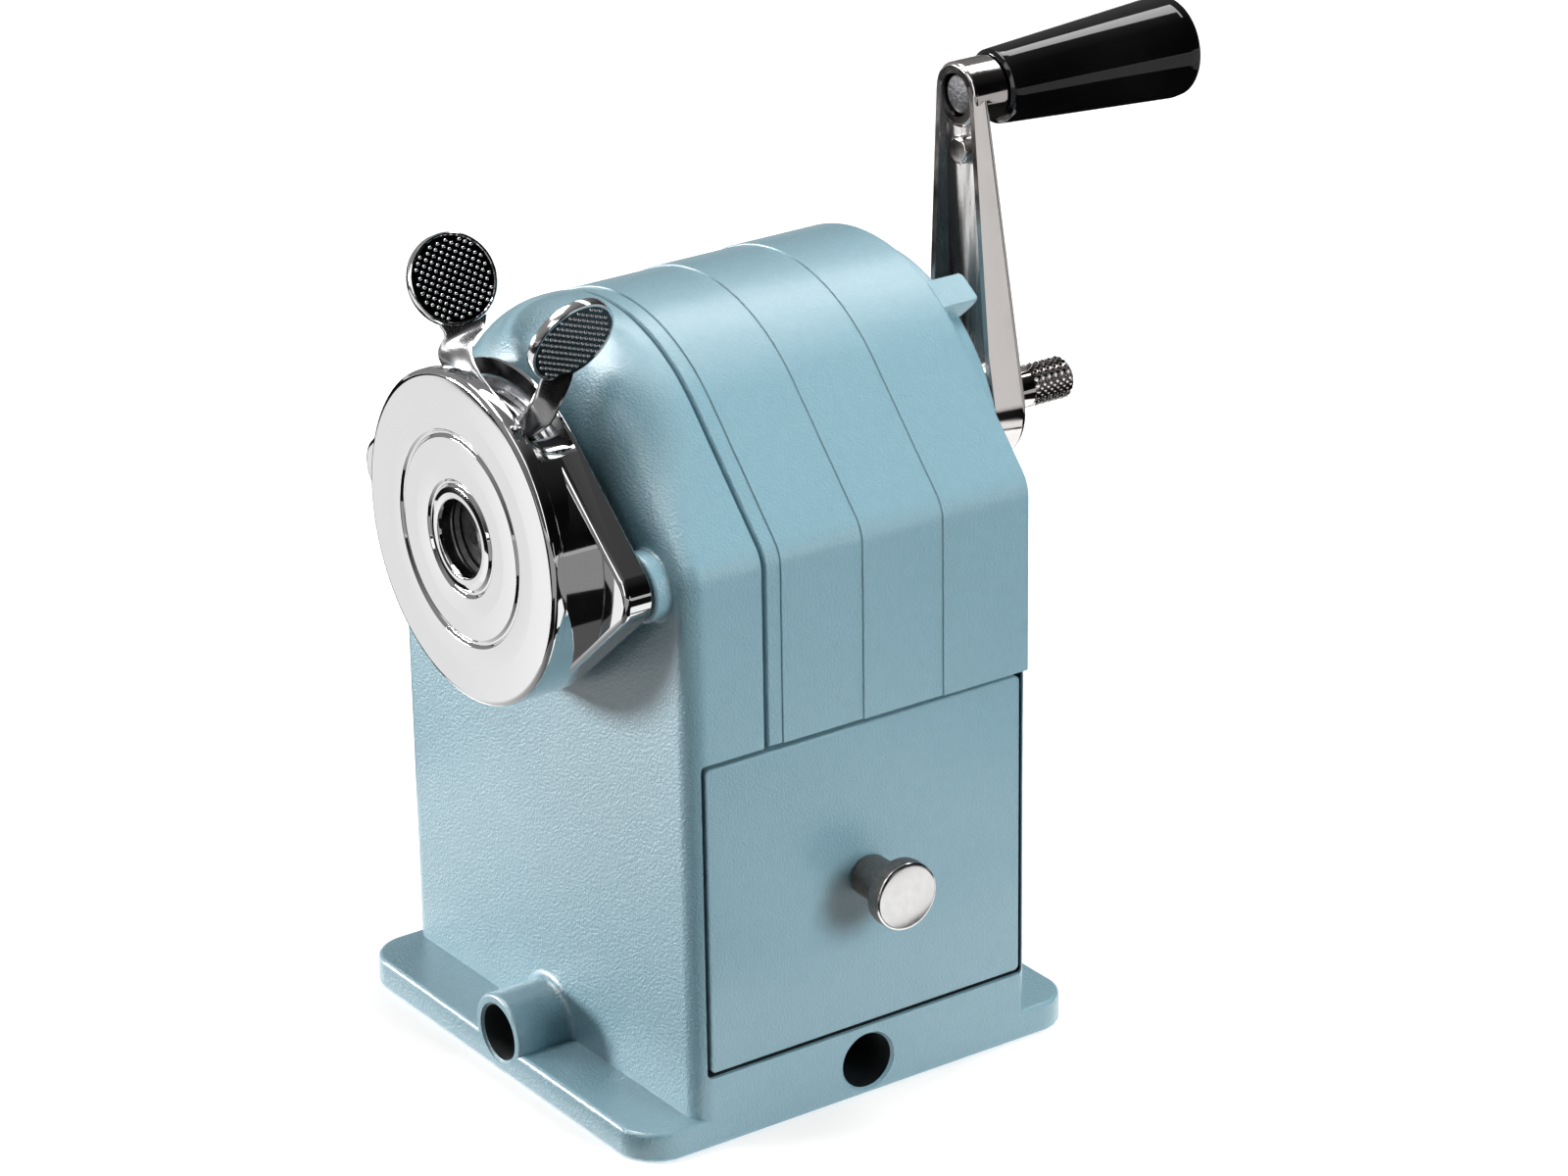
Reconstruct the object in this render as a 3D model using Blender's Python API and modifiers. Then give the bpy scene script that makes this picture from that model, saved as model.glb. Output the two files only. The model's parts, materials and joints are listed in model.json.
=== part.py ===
"""Desk pencil sharpener with a crank, a sliding pencil holder and a shavings drawer.

Frame: +Z up, -Y is the front (pencil side), +Y the crank side, +X the drawer side.
The origin is the middle of the base, on the surface it stands on. Units: metres.
"""
import math

import bmesh
import bpy
from mathutils import Euler, Vector

MM = 0.001
GAP = 0.3 * MM                    # clearance between neighbouring pieces

# Body
HALF_WIDTH = 36.3 * MM
DEPTH = 55.4 * MM
FRONT_Y = -DEPTH / 2
REAR_Y = DEPTH / 2
WALL = 3.0 * MM
AXIS_Z = 80.0 * MM                # height of the pencil and crank axis
ARC_R = 28.8 * MM                 # round top, about the pencil axis
CREASE_Z = 83.3 * MM              # where the vertical sides turn inwards
FRONT_TOP_R = 10.0 * MM           # rounding of the front's top edge
FRONT_SIDE_R = 3.0 * MM           # rounding of the front's side edges
SEAM_Y = FRONT_Y + 12.3 * MM      # joint between the front casting and the hood
BAND_Y = (SEAM_Y + 2.55 * MM, SEAM_Y + 15.5 * MM, SEAM_Y + 28.5 * MM)
BAND_STEP = 0.22 * MM
BAND_FOOT_Z = 59.3 * MM
LOWER_TOP = 56.0 * MM             # top of the lower casting
HOOD_FOOT = 56.3 * MM

# Base
BASE_T = 4.2 * MM
LIP = 8.8 * MM
BASE_CORNER_R = 6.0 * MM
FLOOR_Z = 10.4 * MM               # floor that the drawer runs on
CLAMP_R = 4.0 * MM
FRONT_CLAMP_Z = 5.5 * MM
SIDE_CLAMP_Z = 4.9 * MM
SIDE_CLAMP_Y = 0.4 * MM
CLAMP_BOSS_R = 5.6 * MM
PAD_X = 23.0 * MM
PAD_Y = 31.0 * MM
PAD_RECESS = 0.9 * MM

# Drawer
PANEL_Y = (FRONT_Y + 1.85 * MM, REAR_Y - 0.9 * MM)
PANEL_T = 2.4 * MM
PANEL_GAP = 0.4 * MM
TRAY_TOP = 49.4 * MM
TRAY_WALL = 1.4 * MM
KNOB_Y = 0.6 * MM
KNOB_Z = 33.3 * MM
KNOB_R = 4.9 * MM
KNOB_STEM_R = 3.0 * MM
KNOB_END = HALF_WIDTH + 9.2 * MM

# Pencil holder
ROD_X = 28.2 * MM
ROD_R = 2.2 * MM
BUSH_R = 3.1 * MM
BOSS_R = 4.2 * MM
FLANGE_Y = (FRONT_Y - 6.8 * MM, FRONT_Y - 2.6 * MM)
FLANGE_R = 22.8 * MM
LOBE_R = 4.3 * MM
CUP_R = 22.2 * MM
CUP_FRONT = FRONT_Y - 9.9 * MM
CUP_INNER_R = 20.6 * MM
FACE_FRONT = FRONT_Y - 11.7 * MM
PENCIL_R = 5.25 * MM
SLOT_Z = 96.8 * MM                # floor of the lever slot
SLOT_Y = (FRONT_Y - 9.3 * MM, FRONT_Y - 3.4 * MM)
TRAVEL = 30.0 * MM                # how far the holder pulls out
ROD_END = 20.0 * MM
SPRING_Y = (FRONT_Y + 3.4 * MM, 16.8 * MM)

# Levers
RING_R = (13.4 * MM, 19.2 * MM)
PAD_R = 6.4 * MM
PAD_T = 1.7 * MM
PAD_CENTRE = (14.5 * MM, FRONT_Y - 2.45 * MM, 30.3 * MM)   # x, y, height over the axis

# Cutting head
RING_TEETH = 40
PINION_TEETH = 12
TILT = math.radians(10.0)
MESH_Y = -19.1 * MM               # middle of the gears
CUTTER_OFFSET = 10.9 * MM         # cutter axis to crank axis at the gears
RING_PITCH_R = CUTTER_OFFSET / (1 - PINION_TEETH / RING_TEETH)
PINION_PITCH_R = RING_PITCH_R - CUTTER_OFFSET
CUTTER_R = 4.9 * MM
SHAFT_R = 4.0 * MM

# Crank
ARM_ANGLE = math.radians(-6.6)    # from straight up, towards -X
ARM_LENGTH = 43.8 * MM
ARM_BACK = REAR_Y + 21.1 * MM
HUB_R = 8.6 * MM
TOP_R = 4.65 * MM
GRIP_Y = (ARM_BACK + 3.8 * MM, ARM_BACK + 36.5 * MM)
GRIP_R = (5.35 * MM, 7.35 * MM)

PARTS = "pencil_sharpener"


# ---------------------------------------------------------------- helpers

def clear_scene():
    for item in list(bpy.data.objects):
        bpy.data.objects.remove(item, do_unlink=True)


def new_collection(name):
    group = bpy.data.collections.new(name)
    bpy.context.scene.collection.children.link(group)
    return group


def make_material(name, colour, roughness, metallic):
    material = bpy.data.materials.new(name)
    material.use_nodes = True
    shader = material.node_tree.nodes["Principled BSDF"]
    shader.inputs["Base Color"].default_value = (*colour, 1.0)
    shader.inputs["Roughness"].default_value = roughness
    shader.inputs["Metallic"].default_value = metallic
    return material


def smooth(mesh):
    mesh.shade_smooth()
    mesh.set_sharp_from_angle(angle=math.radians(35))


def place(name, mesh, material=None):
    """Put a mesh in the scene: a part when it has a material, else a tool shape."""
    piece = bpy.data.objects.new(name, mesh)
    if material is None:
        TOOLS.objects.link(piece)
        piece.hide_render = True
        piece.display_type = "WIRE"
    else:
        SHARPENER.objects.link(piece)
        mesh.materials.append(material)
    return piece


def from_bmesh(name, shape, material=None):
    bmesh.ops.recalc_face_normals(shape, faces=shape.faces)
    mesh = bpy.data.meshes.new(name)
    shape.to_mesh(mesh)
    shape.free()
    smooth(mesh)
    return place(name, mesh, material)


def box(name, low, high, material=None):
    shape = bmesh.new()
    bmesh.ops.create_cube(shape, size=1.0)
    low = Vector(low)
    high = Vector(high)
    bmesh.ops.scale(shape, vec=high - low, verts=shape.verts)
    bmesh.ops.translate(shape, vec=(low + high) / 2, verts=shape.verts)
    return from_bmesh(name, shape, material)


def rod(name, start, end, radius, material=None, sides=32, end_radius=None):
    """A cylinder or cone from start to end."""
    start = Vector(start)
    end = Vector(end)
    shape = bmesh.new()
    bmesh.ops.create_cone(shape, cap_ends=True, segments=sides, radius1=radius,
                          radius2=radius if end_radius is None else end_radius,
                          depth=(end - start).length)
    turn = (end - start).to_track_quat("Z", "Y").to_matrix()
    bmesh.ops.rotate(shape, matrix=turn, verts=shape.verts)
    bmesh.ops.translate(shape, vec=(start + end) / 2, verts=shape.verts)
    return from_bmesh(name, shape, material)


def rod_y(name, x, z, span, radius, material=None, sides=32):
    return rod(name, (x, span[0], z), (x, span[1], z), radius, material, sides)


def plate(name, outline, span, facing="Y", material=None):
    """A flat outline given a thickness along Y or Z."""
    curve = bpy.data.curves.new(name, "CURVE")
    curve.dimensions = "2D"
    curve.fill_mode = "BOTH"
    curve.extrude = (span[1] - span[0]) / 2
    spline = curve.splines.new("POLY")
    spline.points.add(len(outline) - 1)
    for point, (u, v) in zip(spline.points, outline):
        point.co = (u, v, 0.0, 1.0)
    spline.use_cyclic_u = True
    guide = bpy.data.objects.new(name + "_outline", curve)
    bpy.context.scene.collection.objects.link(guide)
    middle = (span[0] + span[1]) / 2
    if facing == "Y":
        guide.rotation_euler = (math.pi / 2, 0.0, 0.0)
        guide.location = (0.0, middle, 0.0)
    else:
        guide.location = (0.0, 0.0, middle)
    bpy.context.view_layer.update()
    evaluated = guide.evaluated_get(bpy.context.evaluated_depsgraph_get())
    mesh = bpy.data.meshes.new_from_object(evaluated)
    shape = bmesh.new()
    shape.from_mesh(mesh)
    bmesh.ops.remove_doubles(shape, verts=shape.verts, dist=0.00001)
    shape.transform(guide.matrix_world)
    bpy.data.objects.remove(guide)
    return from_bmesh(name, shape, material)


def turned(name, profile, origin=(0.0, 0.0, 0.0), facing="Y", material=None, steps=48,
           ring=False):
    """A turned shape: (radius, height) pairs from the top down the outer side."""
    mesh = bpy.data.meshes.new(name)
    points = [(radius, 0.0, height) for radius, height in profile]
    edges = [(i, i + 1) for i in range(len(points) - 1)]
    if ring:
        edges.append((len(points) - 1, 0))
    mesh.from_pydata(points, edges, [])
    piece = place(name, mesh, material)
    screw = piece.modifiers.new("turn", "SCREW")
    screw.axis = "Z"
    screw.steps = steps
    screw.render_steps = steps
    screw.use_merge_vertices = True
    screw.merge_threshold = 0.00001
    screw.use_smooth_shade = True
    piece.location = origin
    if facing == "Y":
        piece.rotation_euler = (-math.pi / 2, 0.0, 0.0)
    elif facing == "X":
        piece.rotation_euler = (0.0, math.pi / 2, 0.0)
    return piece


def tube(name, x, z, span, inner, outer, material, steps=32):
    """A straight ring along Y, such as a bush or a washer."""
    profile = [(outer, span[1]), (outer, span[0]), (inner, span[0]), (inner, span[1])]
    return turned(name, profile, (x, 0.0, z), "Y", material, steps, ring=True)


def loft(name, rings, material=None):
    """A closed solid through rings of points, with a flat cap at each end."""
    shape = bmesh.new()
    rows = [[shape.verts.new(point) for point in ring] for ring in rings]
    count = len(rings[0])
    for row, following in zip(rows, rows[1:]):
        for i in range(count):
            j = (i + 1) % count
            shape.faces.new((row[i], row[j], following[j], following[i]))
    shape.faces.new(rows[0])
    shape.faces.new(list(reversed(rows[-1])))
    return from_bmesh(name, shape, material)


def combine(piece, tools, operation):
    for tool in tools:
        step = piece.modifiers.new(tool.name, "BOOLEAN")
        step.operation = operation
        step.solver = "EXACT"
        step.object = tool


def cut(piece, *tools):
    combine(piece, tools, "DIFFERENCE")


def join(piece, *tools):
    combine(piece, tools, "UNION")


def bevel(piece, width, segments=2, angle=40):
    step = piece.modifiers.new("edges", "BEVEL")
    step.width = width
    step.segments = segments
    step.limit_method = "ANGLE"
    step.angle_limit = math.radians(angle)


def arc(centre, radius, first, last, count):
    """Points on a circle, angles in degrees from +u towards +v."""
    points = []
    for i in range(count + 1):
        angle = math.radians(first + (last - first) * i / count)
        points.append((centre[0] + radius * math.cos(angle),
                       centre[1] + radius * math.sin(angle)))
    return points


def mirrored(points):
    return [(-x, z) for x, z in reversed(points)]


def wire(name, points, radius, material):
    """A bent wire as one closed solid."""
    curve = bpy.data.curves.new(name, "CURVE")
    curve.dimensions = "3D"
    curve.bevel_depth = radius
    curve.bevel_resolution = 1
    curve.use_fill_caps = True
    spline = curve.splines.new("POLY")
    spline.points.add(len(points) - 1)
    for target, point in zip(spline.points, points):
        target.co = (*point, 1.0)
    piece = bpy.data.objects.new(name, curve)
    SHARPENER.objects.link(piece)
    curve.materials.append(material)
    return piece


# ---------------------------------------------------------------- body shells

def slant_angle():
    """Direction in which the slanting side faces, from +X."""
    reach = math.hypot(HALF_WIDTH, CREASE_Z - AXIS_Z)
    return math.atan2(CREASE_Z - AXIS_Z, HALF_WIDTH) + math.acos(ARC_R / reach)


def half_outline(foot, arc_steps=9, slant_steps=3):
    """Right half of the body's outline: (point, outward normal, edge rounding)."""
    facing = slant_angle()
    normal = Vector((math.cos(facing), math.sin(facing)))
    centre = Vector((0.0, AXIS_Z))
    crease = Vector((HALF_WIDTH, CREASE_Z))
    shoulder = centre + ARC_R * normal
    corner = (Vector((1.0, 0.0)) + normal).normalized() / math.cos(facing / 2)
    rows = [(Vector((HALF_WIDTH, foot)), Vector((1.0, 0.0)), FRONT_SIDE_R),
            (crease, corner, FRONT_SIDE_R)]
    for i in range(1, slant_steps):
        share = i / slant_steps
        radius = FRONT_SIDE_R + (FRONT_TOP_R - FRONT_SIDE_R) * share
        rows.append((crease.lerp(shoulder, share), normal, radius))
    for i in range(arc_steps + 1):
        angle = facing + (math.pi / 2 - facing) * i / arc_steps
        outward = Vector((math.cos(angle), math.sin(angle)))
        rows.append((centre + ARC_R * outward, outward, FRONT_TOP_R))
    return rows


def whole_outline(rows, inset):
    """Both halves moved in by inset (a length, or a function of the edge rounding)."""
    right = []
    for point, normal, radius in rows:
        depth = inset(radius) if callable(inset) else inset
        moved = point - normal * depth
        right.append((moved.x, moved.y))
    return right + mirrored(right)[1:]


def section(outline, y):
    return [(x, y, z) for x, z in outline]


def front_shell():
    """Front of the casting: flat face, large rounding over the top edge."""
    rows = half_outline(2.0 * MM)
    rings = []
    for step in range(7):
        angle = math.pi / 2 * step / 6
        outline = whole_outline(rows, lambda radius: radius * (1 - math.sin(angle)))
        heights = [radius * (1 - math.cos(angle)) for _, _, radius in rows]
        heights = heights + heights[-2::-1]
        rings.append([(x, FRONT_Y + rise, z) for (x, z), rise in zip(outline, heights)])
    rings.append(section(whole_outline(rows, 0.0), SEAM_Y - GAP / 2))
    return rings


def body_casting(paint):
    body = loft("body_casting", front_shell(), paint)
    lower = box("lower_walls", (-HALF_WIDTH, SEAM_Y - 2 * MM, 1 * MM),
                (HALF_WIDTH, REAR_Y, LOWER_TOP))
    base = []
    edge_x = HALF_WIDTH - BASE_CORNER_R
    edge_y = DEPTH / 2 + LIP - BASE_CORNER_R
    for turn, sx, sy in ((0, 1, 1), (90, -1, 1), (180, -1, -1), (270, 1, -1)):
        base += arc((sx * edge_x, sy * edge_y), BASE_CORNER_R, turn, turn + 90, 6)
    plinth = plate("base_plate", base, (0.0, BASE_T), "Z")
    block = box("base_block", (-HALF_WIDTH, SEAM_Y - 2 * MM, 0.5 * MM),
                (HALF_WIDTH, REAR_Y, FLOOR_Z + 1 * MM))
    clamp_boss = rod_y("clamp_boss", 0.0, FRONT_CLAMP_Z,
                       (FRONT_Y - LIP, FRONT_Y + 2 * MM), CLAMP_BOSS_R, sides=28)
    foot_trim = box("foot_trim", (-50 * MM, -50 * MM, -5 * MM), (50 * MM, 50 * MM, 0.0))
    bosses = [rod_y(f"rod_boss_{side}", sign * ROD_X, AXIS_Z,
                    (FRONT_Y - 2.3 * MM, FRONT_Y + 2 * MM), BOSS_R, sides=24)
              for side, sign in (("left", -1), ("right", 1))]
    seat = rod_y("gear_seat", 0.0, AXIS_Z, (FRONT_Y + 2 * MM, -17.6 * MM), 23.4 * MM,
                 sides=48)
    ledges = ledge_boxes("body_ledge", 50.5 * MM, LOWER_TOP,
                         FRONT_Y + 2 * MM, REAR_Y - 1 * MM, 33.2 * MM)
    inner = whole_outline(half_outline(9 * MM, 8, 1), WALL)
    upper = plate("upper_cavity", inner, (FRONT_Y + WALL, SEAM_Y + 5 * MM))
    drawer_space = box("drawer_space", (-HALF_WIDTH + 2.9 * MM, FRONT_Y + WALL, FLOOR_Z),
                       (50 * MM, REAR_Y - 2.8 * MM, 56.2 * MM))
    rebate = box("panel_rebate", (HALF_WIDTH - PANEL_T - GAP, PANEL_Y[0], FLOOR_Z),
                 (50 * MM, PANEL_Y[1], 56.2 * MM))
    recess = box("pad_recess", (-PAD_X, -PAD_Y, -1 * MM), (PAD_X, PAD_Y, PAD_RECESS))
    core = box("base_core", (-20 * MM, -14 * MM, 0.5 * MM), (20 * MM, 24 * MM, 7.2 * MM))
    join(body, lower, plinth, block, clamp_boss, *bosses)
    cut(body, upper, drawer_space, rebate, foot_trim, recess, core)
    join(body, seat, *ledges)
    cut(body,
        rod_y("seat_bore", 0.0, AXIS_Z, (FRONT_Y + WALL, 0.0), 20.8 * MM, sides=48),
        rod_y("bush_bore", 0.0, AXIS_Z, (FRONT_Y - 5 * MM, -20 * MM), 9.3 * MM),
        rod_y("front_clamp_hole", 0.0, FRONT_CLAMP_Z, (-50 * MM, -18 * MM), CLAMP_R,
              sides=28),
        rod("side_clamp_hole", (24.3 * MM, SIDE_CLAMP_Y, SIDE_CLAMP_Z),
            (50 * MM, SIDE_CLAMP_Y, SIDE_CLAMP_Z), CLAMP_R, sides=28),
        *[rod_y(f"rod_bore_{sign}", sign * ROD_X, AXIS_Z, (-45 * MM, -20 * MM),
                BUSH_R + 0.2 * MM, sides=20) for sign in (-1, 1)],
        *screw_holes("ledge_hole", 45 * MM, 60 * MM, 1.6 * MM),
        *screw_holes("ledge_sink", 45 * MM, 53 * MM, 3.0 * MM))
    return body


SCREW_PLACES = [(x * MM, y * MM) for x in (-29.0, 29.0) for y in (-11.0, 21.5)]


def ledge_boxes(name, low, high, front, rear, right):
    """Four corner blocks that carry the screws between body and hood."""
    blocks = []
    for i, (x, y) in enumerate(SCREW_PLACES):
        xs = (25.2 * MM, right) if x > 0 else (-34.3 * MM, -25.2 * MM)
        ys = (front, y + 4 * MM) if y < 0 else (y - 4 * MM, rear)
        blocks.append(box(f"{name}_{i}", (xs[0], ys[0], low), (xs[1], ys[1], high)))
    return blocks


def screw_holes(name, low, high, radius):
    return [rod(f"{name}_{i}", (x, y, low), (x, y, high), radius, sides=16)
            for i, (x, y) in enumerate(SCREW_PLACES)]


def hood_rings():
    """The hood's skin: four bands, each a little proud of the one in front."""
    rows = half_outline(HOOD_FOOT)
    foot = rows[0]
    low = (Vector((HALF_WIDTH, BAND_FOOT_Z)), foot[1], foot[2])
    high = (Vector((HALF_WIDTH, BAND_FOOT_Z + 0.3 * MM)), foot[1], foot[2])
    rows = [foot, low, high] + rows[1:]
    starts = (SEAM_Y + GAP / 2, *BAND_Y)
    ends = (*BAND_Y, REAR_Y)
    rings = []
    for band, (start, end) in enumerate(zip(starts, ends)):
        proud = (band - 1) * BAND_STEP
        outline = whole_outline(rows, -proud)
        if band > 1:
            plain = whole_outline(rows, 0.0)
            outline[:2] = plain[:2]
            outline[-2:] = plain[-2:]
        rings.append(section(outline, start + (0.1 * MM if band else 0.0)))
        rings.append(section(outline, end))
    return rings


def hood(paint):
    shell = loft("hood", hood_rings(), paint)
    inner = whole_outline(half_outline(50 * MM, 8, 1), 2.7 * MM)
    hollow = plate("hood_hollow", inner, (SEAM_Y - 5 * MM, REAR_Y - 2.8 * MM))
    rear_boss = turned("rear_boss", [(0.0, 3.6 * MM), (25.5 * MM, 3.6 * MM),
                                     (26.5 * MM, 2.6 * MM), (26.5 * MM, -1 * MM),
                                     (0.0, -1 * MM)],
                       (0.0, REAR_Y, AXIS_Z), "Y", steps=56)
    boss_hollow = rod_y("boss_hollow", 0.0, AXIS_Z, (REAR_Y - 5 * MM, REAR_Y + 1 * MM),
                        23.6 * MM, sides=48)
    bearing_boss = rod_y("bearing_boss", 0.0, AXIS_Z, (22 * MM, REAR_Y + 3.2 * MM),
                         10 * MM)
    gusset = plate("gusset", [(-6.0 * MM, 20.5 * MM), (6.0 * MM, 20.5 * MM),
                              (5.0 * MM, 28.0 * MM), (-5.0 * MM, 28.0 * MM)],
                   (REAR_Y - 1 * MM, REAR_Y + 5.8 * MM))
    bevel(gusset, 1.2 * MM, 3)
    lean = math.radians(-33)
    gusset.rotation_euler = (0.0, -lean, 0.0)
    gusset.location = (0.0, 0.0, AXIS_Z)
    gusset_trim = box("gusset_trim", (-12 * MM, 0.0, -12 * MM), (12 * MM, 12 * MM, 0.0))
    gusset_trim.rotation_euler = Euler((math.radians(-42), -lean, 0.0), "XYZ")
    gusset_trim.location = (-math.sin(lean) * 25.2 * MM, REAR_Y + 5.2 * MM,
                            AXIS_Z + math.cos(lean) * 25.2 * MM)
    cut(gusset, gusset_trim)
    lugs = ledge_boxes("hood_lug", HOOD_FOOT, 64 * MM, SEAM_Y + 0.8 * MM,
                       REAR_Y - 1 * MM, 34.3 * MM)
    cut(shell, hollow)
    join(shell, rear_boss, gusset)
    below = box("hood_below", (-50 * MM, -50 * MM, 40 * MM), (50 * MM, 50 * MM, HOOD_FOOT))
    cut(shell, boss_hollow, below)
    join(shell, bearing_boss, *lugs)
    cut(shell, rod_y("bearing_bore", 0.0, AXIS_Z, (15 * MM, 40 * MM), 7.3 * MM),
        *screw_holes("lug_hole", 50 * MM, 63 * MM, 1.55 * MM))
    return shell


def base_pad(rubber):
    outline = []
    for turn, sx, sy in ((0, 1, 1), (90, -1, 1), (180, -1, -1), (270, 1, -1)):
        outline += arc((sx * (PAD_X - GAP - 1 * MM), sy * (PAD_Y - GAP - 1 * MM)),
                       1 * MM, turn, turn + 90, 3)
    return plate("base_pad", outline, (0.0, PAD_RECESS - GAP), "Z", rubber)


def hood_screws(steel):
    for i, (x, y) in enumerate(SCREW_PLACES):
        profile = [(0.0, 62 * MM), (1.25 * MM, 62 * MM), (1.25 * MM, 52.7 * MM),
                   (2.6 * MM, 52.7 * MM), (2.6 * MM, 51.2 * MM), (2.2 * MM, 50.8 * MM),
                   (0.0, 50.8 * MM)]
        turned(f"hood_screw_{i + 1}", profile, (x, y, 0.0), "Z", steel, 20)


# ---------------------------------------------------------------- drawer

def drawer(paint, plastic, metal, steel):
    panel = box("drawer_front",
                (HALF_WIDTH - PANEL_T, PANEL_Y[0] + PANEL_GAP, FLOOR_Z + PANEL_GAP),
                (HALF_WIDTH, PANEL_Y[1] - PANEL_GAP, 55.8 * MM), paint)
    bevel(panel, 0.6 * MM, 2)
    screw_hole = rod("panel_hole", (20 * MM, KNOB_Y, KNOB_Z), (50 * MM, KNOB_Y, KNOB_Z),
                     1.8 * MM, sides=16)
    cut(panel, screw_hole)
    left = -HALF_WIDTH + 2.9 * MM + 1.2 * MM
    right = HALF_WIDTH - PANEL_T - GAP
    low = (left, FRONT_Y + WALL + 0.6 * MM, FLOOR_Z + GAP)
    high = (right, REAR_Y - 2.8 * MM - 0.6 * MM, TRAY_TOP)
    tray = box("drawer_tray", low, high, plastic)
    well = box("tray_well", (low[0] + TRAY_WALL, low[1] + TRAY_WALL, low[2] + TRAY_WALL),
               (high[0] - TRAY_WALL, high[1] - TRAY_WALL, high[2] + 10 * MM))
    cut(tray, well, screw_hole)
    foot = HALF_WIDTH + GAP
    knob = turned("drawer_knob",
                  [(0.0, KNOB_END), (2.6 * MM, KNOB_END - 0.15 * MM),
                   (4.4 * MM, KNOB_END - 0.6 * MM), (KNOB_R, KNOB_END - 1.1 * MM),
                   (KNOB_R, KNOB_END - 2.4 * MM), (4.4 * MM, KNOB_END - 3.0 * MM),
                   (KNOB_STEM_R, KNOB_END - 4.2 * MM), (KNOB_STEM_R, foot),
                   (1.8 * MM, foot), (1.8 * MM, foot + 5 * MM), (0.0, foot + 5 * MM)],
                  (0.0, KNOB_Y, KNOB_Z), "X", metal, 32)
    inside = right - TRAY_WALL - GAP
    turned("knob_screw",
           [(0.0, foot + 4.5 * MM), (1.5 * MM, foot + 4.5 * MM), (1.5 * MM, inside),
            (3.2 * MM, inside), (2.8 * MM, inside - 1.4 * MM), (0.0, inside - 1.6 * MM)],
           (0.0, KNOB_Y, KNOB_Z), "X", steel, 20)
    return knob


# ---------------------------------------------------------------- pencil holder

def lobed_outline(main_r, lobe_x, lobe_r, steps=20):
    """A circle with a rounded lobe on each side, joined by straight tangents."""
    lean = math.degrees(math.acos((main_r - lobe_r) / lobe_x))
    points = []
    points += arc((lobe_x, AXIS_Z), lobe_r, -lean, lean, 8)
    points += arc((0.0, AXIS_Z), main_r, lean, 180 - lean, steps)
    points += arc((-lobe_x, AXIS_Z), lobe_r, 180 - lean, 180 + lean, 8)
    points += arc((0.0, AXIS_Z), main_r, 180 + lean, 360 - lean, steps)
    return points


def holder_housing(chrome):
    flange = plate("holder_housing", lobed_outline(FLANGE_R, ROD_X, LOBE_R), FLANGE_Y,
                   "Y", chrome)
    cup = turned("cup", [(0.0, FLANGE_Y[0] + 1 * MM), (22.6 * MM, FLANGE_Y[0] + 1 * MM),
                         (22.6 * MM, FLANGE_Y[0]), (CUP_R, CUP_FRONT), (0.0, CUP_FRONT)],
                 (0.0, 0.0, AXIS_Z), "Y", steps=48)
    slot = box("lever_slot", (-25 * MM, SLOT_Y[0], SLOT_Z), (25 * MM, SLOT_Y[1], 120 * MM))
    hollow = rod_y("cup_hollow", 0.0, AXIS_Z, (SLOT_Y[0], 0.0), CUP_INNER_R, sides=56)
    mouth = rod_y("cup_mouth", 0.0, AXIS_Z, (-60 * MM, 0.0), PENCIL_R + 0.4 * MM, sides=40)
    sockets = [rod_y(f"rod_socket_{sign}", sign * ROD_X, AXIS_Z,
                     (FLANGE_Y[0] + 1 * MM, 0.0), ROD_R + 0.2 * MM, sides=20)
               for sign in (-1, 1)]
    join(flange, cup)
    cut(flange, hollow, slot, mouth, *sockets)
    return flange


def holder_face(chrome):
    front = -FACE_FRONT
    back = front - 1.5 * MM

    def ring_bulge(inner, outer, depth, rise, count=2):
        points = []
        for i in range(count + 1):
            share = i / count
            radius = outer + (inner - outer) * share
            points.append((radius, depth + rise * math.sin(math.pi * share)))
        return points

    profile = [(CUP_R, back), (CUP_R, front - 1.0 * MM), (CUP_R - 0.4 * MM, front - 0.4 * MM)]
    profile += ring_bulge(14.8 * MM, 21.3 * MM, front - 0.1 * MM, 0.1 * MM)
    profile += [(14.3 * MM, front - 0.7 * MM)]
    profile += ring_bulge(8.2 * MM, 13.6 * MM, front - 0.6 * MM, 0.2 * MM)
    profile += [(7.7 * MM, front - 0.9 * MM)]
    profile += ring_bulge(5.8 * MM, 7.3 * MM, front - 0.5 * MM, 0.35 * MM)
    profile += [(PENCIL_R, front - 0.9 * MM), (PENCIL_R, back)]
    profile.reverse()
    piece = turned("holder_face", profile, (0.0, 0.0, AXIS_Z), "Y", chrome, 48, ring=True)
    piece.rotation_euler = (math.pi / 2, 0.0, 0.0)
    return piece


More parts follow.
